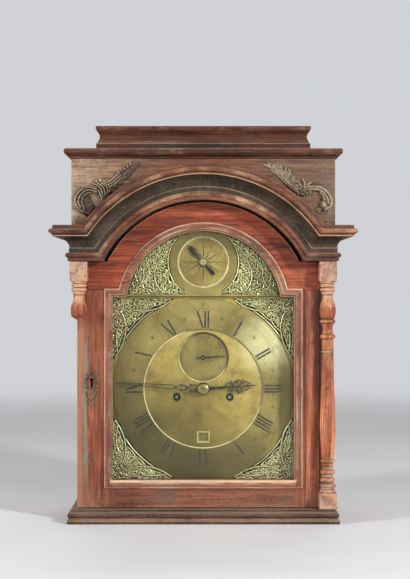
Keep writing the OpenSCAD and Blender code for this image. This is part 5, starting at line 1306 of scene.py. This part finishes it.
def hands():
    hand("minute_hand_pierced", """
curve 8 9 1.2 1 14 4.6 1 20 5.2 .9 24 2 .8 27 .6 .8
spiral 20.5 3.6 3.2 .8 60 1.1 .75
curve 8 27 .6 .8 32 4 .9 38 4.4 .8 43 1.6 .8 47 .8 .8
spiral 36 2.8 2.6 .6 30 1.1 .7
leaf 26 1 60 5 -60 .9
leaf 14 4 130 4 -70 .8
curve 12 46 .4 .9 50 2.5 .8 58 2.7 .75 100 1.7 .7 143 .35 .6""", """
line 0 0 8 .01 0 8
line 6 0 1.6 14 0 1
line 140 0 .9 145 0 .35 .8""", 274, -53.0, 1.5, 3.2, "minute_arbor", "minute_hand")
    hand("hour_hand_pierced", """
curve 8 36 .6 1 40 5 1 46 6.4 1 50 3.4 .9 48 1.6 .8
curve 8 44 .5 1 50 6 1.1 57 9.8 1 63 8.4 .9 62 4.6 .8
spiral 55 5.2 3 .7 120 -1.1 .8
curve 8 56 .5 1 62 3 1 69 6.4 .9 74 4.6 .8 73 2.2 .7
leaf 46 6 100 5 -60 1
leaf 57 9.4 60 3.5 40 .9
leaf 63 7.6 20 6 50 1
leaf 69 6 70 4 -60 .9
leaf 40 4.6 130 4 -60 .9
leaf 74 3.6 10 5 -30 .8""", """
line 0 0 10.3 .01 0 10.3
line 8 0 2.6 22 0 1.5 30 0 2.2 36 0 1.4
line 34 0 1.2 60 0 1 78 0 1.1 88 0 .3 .8""", 86, -47.5, 1.5, 5.2, "hour_pipe", "hour_hand")
    hand("arch_paddle", "", """
curve 8 4 0 1.5 12 0 2.2 22 0 4 29 0 4.2 33.4 0 2 .9
curve 8 -4 0 1.4 -12 0 2 -21 0 3.4 -26 0 2.2 .9
line 0 0 6 .01 0 6""", 318, -45.0, 1.4, 1.9, "arch_hand", "arch_hand", DIAL_ARCH_Z, (-30, 37, -8, 8))
    lathe("arch_collet", [[0.4, -35.1], [2, -35.1], [2, -44.9], [7.4, -45], [7.6, -45.5], [6.6, -46.1],
                          [4.6, -46.3], [4.3, -46.0], [2.6, -46.0], [2.3, -46.4], [0.3, -46.4]], 0,
          DIAL_ARCH_Z, ("collet", "arch_hand", "blued_steel"), seg=64, along="y", dent=0)
    lathe("domed_collet", [[3.3, -53.0], [9.4, -53.05], [9.7, -53.5], [9.0, -54.4], [6.8, -55.4], [4.4, -55.9],
                           [3.4, -56.0]], 0, CENTRE_Z, ("collet", "minute_arbor", "old_brass"), along="y",
          dent=0, hoop=True, node="hand_collet")
    pin = curve([(-7.4, 0, .35), (0, 0.1, .55), (6.8, 0, .75)], 6)
    v = [(x, -56.0 + r * math.sin(a) * 0.9, CENTRE_Z + z + r * math.cos(a))
         for x, z, r in pin for a in np.linspace(0, 2 * math.pi, 12, endpoint=False)]
    ends = [np.arange(12)[::-1], np.arange(len(v) - 12, len(v))]
    make("collet_pin", v, list(grid_faces(len(pin), 12, wrap_cols=True)) + ends,
         ("steel", "minute_arbor", "old_brass"))


# ------------------------------------------------------------------ carried-over nodes
# Their materials, where that isn't plain brass, and the bevels of the crisp ones
KEPT = {"side": "hood_sides", "mask": "dial_mask", "pine": "backboard cheeks", "pine_level": "seatboard",
        "plate": "dial_plate", "ring": "chapter_ring arch_ring seconds_dial", "white": "date_ring",
        "bell": "bell", "glass": "door_glass", "blued": "seconds_hand",
        "steel": "bell_stand hammer hammer_spring rack rack_hook lifting_piece pallets crutch "
                 "going_barrel strike_barrel seatboard_bolts door_lock"}
SOFT = {0.8: "hood_sides backboard cheeks seatboard", 0.6: "dial_mask", 0.5: "door_lock",
        0.3: "front_plate back_plate back_cock lock_bolt hour_bridge", 0.25: "chapter_ring arch_ring",
        0.2: "dial_plate"}


def dress_nodes():
    """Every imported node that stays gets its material, and the crisp ones a small bevel."""
    mat_of, soft = ({n: k for k, names in d.items() for n in names.split()} for d in (KEPT, SOFT))
    for name, o in nodes.items():
        if name in replaced:
            continue
        mat = M[mat_of.get(name, "works")]
        if not o.data.materials:
            o.data.materials.append(mat)
        for i in range(len(o.data.materials)):
            o.data.materials[i] = mat
        if name in soft:
            bevel(o, "edge", soft[name])


# ------------------------------------------------------------------ light, floor and camera
def lamp(name, where, at, size, watts):
    """A rectangular light that points from where to at."""
    light = bpy.data.lights.new(name, "AREA")
    light.shape, light.size, light.size_y = "RECTANGLE", *size
    light.energy = watts
    d = np.subtract(at, where)
    turn = math.acos(-d[2] / np.linalg.norm(d)), 0, math.atan2(d[1], d[0]) - math.pi / 2
    add_object(name, light, where, turn)


def studio():
    n = Nodes("pale_floor")
    n.done(n.ramp(n.noise(3, 2), [(0.3, (0.72, 0.72, 0.73)), (0.7, (0.78, 0.78, 0.79))]), 0.7)
    # far off, the floor fades into the world's colour
    x, y = n.axis(0), n.axis(1)
    n.blend(n.span((x * x + y * y).root(), 1.3, 3.6), n.out.inputs[0].links[0].from_socket,
            n.value("BsdfTransparent"))
    me = bpy.data.meshes.new("floor")
    me.from_pydata([(-4, -4, 0), (4, -4, 0), (4, 4, 0), (-4, 4, 0)], [], [[0, 1, 2, 3]])
    me.materials.append(n.mat)
    add_object("floor", me)
    lamp("left_lamp", (-1.9, -1.2, 1.0), (0, 0, 0.3), (0.35, 0.7), 38)
    lamp("right_lamp", (1.5, -1.8, 1.15), (0, 0, 0.3), (0.22, 0.4), 54)
    lamp("front_fill", (0.6, -2.75, 0.6), (0, 0, 0.3), (0.35, 0.5), 6)
    lamp("back_lamp", (0, 1.6, 2.4), (0, 0.1, 0.3), (2.0, 1.0), 20)
    # the world is bright to look at, but lights little
    w = Nodes("studio", "World")
    seen = [w.value("LightPath", out="Is %s Ray" % kind) for kind in ("Camera", "Glossy", "Transmission")]
    power = w.value("MapRange", {0: seen[0].top(seen[1]).top(seen[2]), 3: 0.14, 4: 0.7})
    w.put(w.out.inputs[0], w.value("Background", {0: (0.9, 0.92, 0.95), 1: power}))
    scene.world = w.mat
    cam = bpy.data.cameras.new("camera")
    cam.lens, cam.sensor_width, cam.sensor_height, cam.sensor_fit = 99.5, 36, 36, "AUTO"
    scene.camera = add_object("camera", cam, (0.0028, -2.673, 0.377), (math.pi / 2, 0, 0))
    scene.view_settings.view_transform = "Standard"


case()
carvings()
key_plate()
corner_spandrels()
arch_spandrels()
numerals()
arch_dial()
seconds_dial()
openings()
hands()
dress_nodes()
studio()
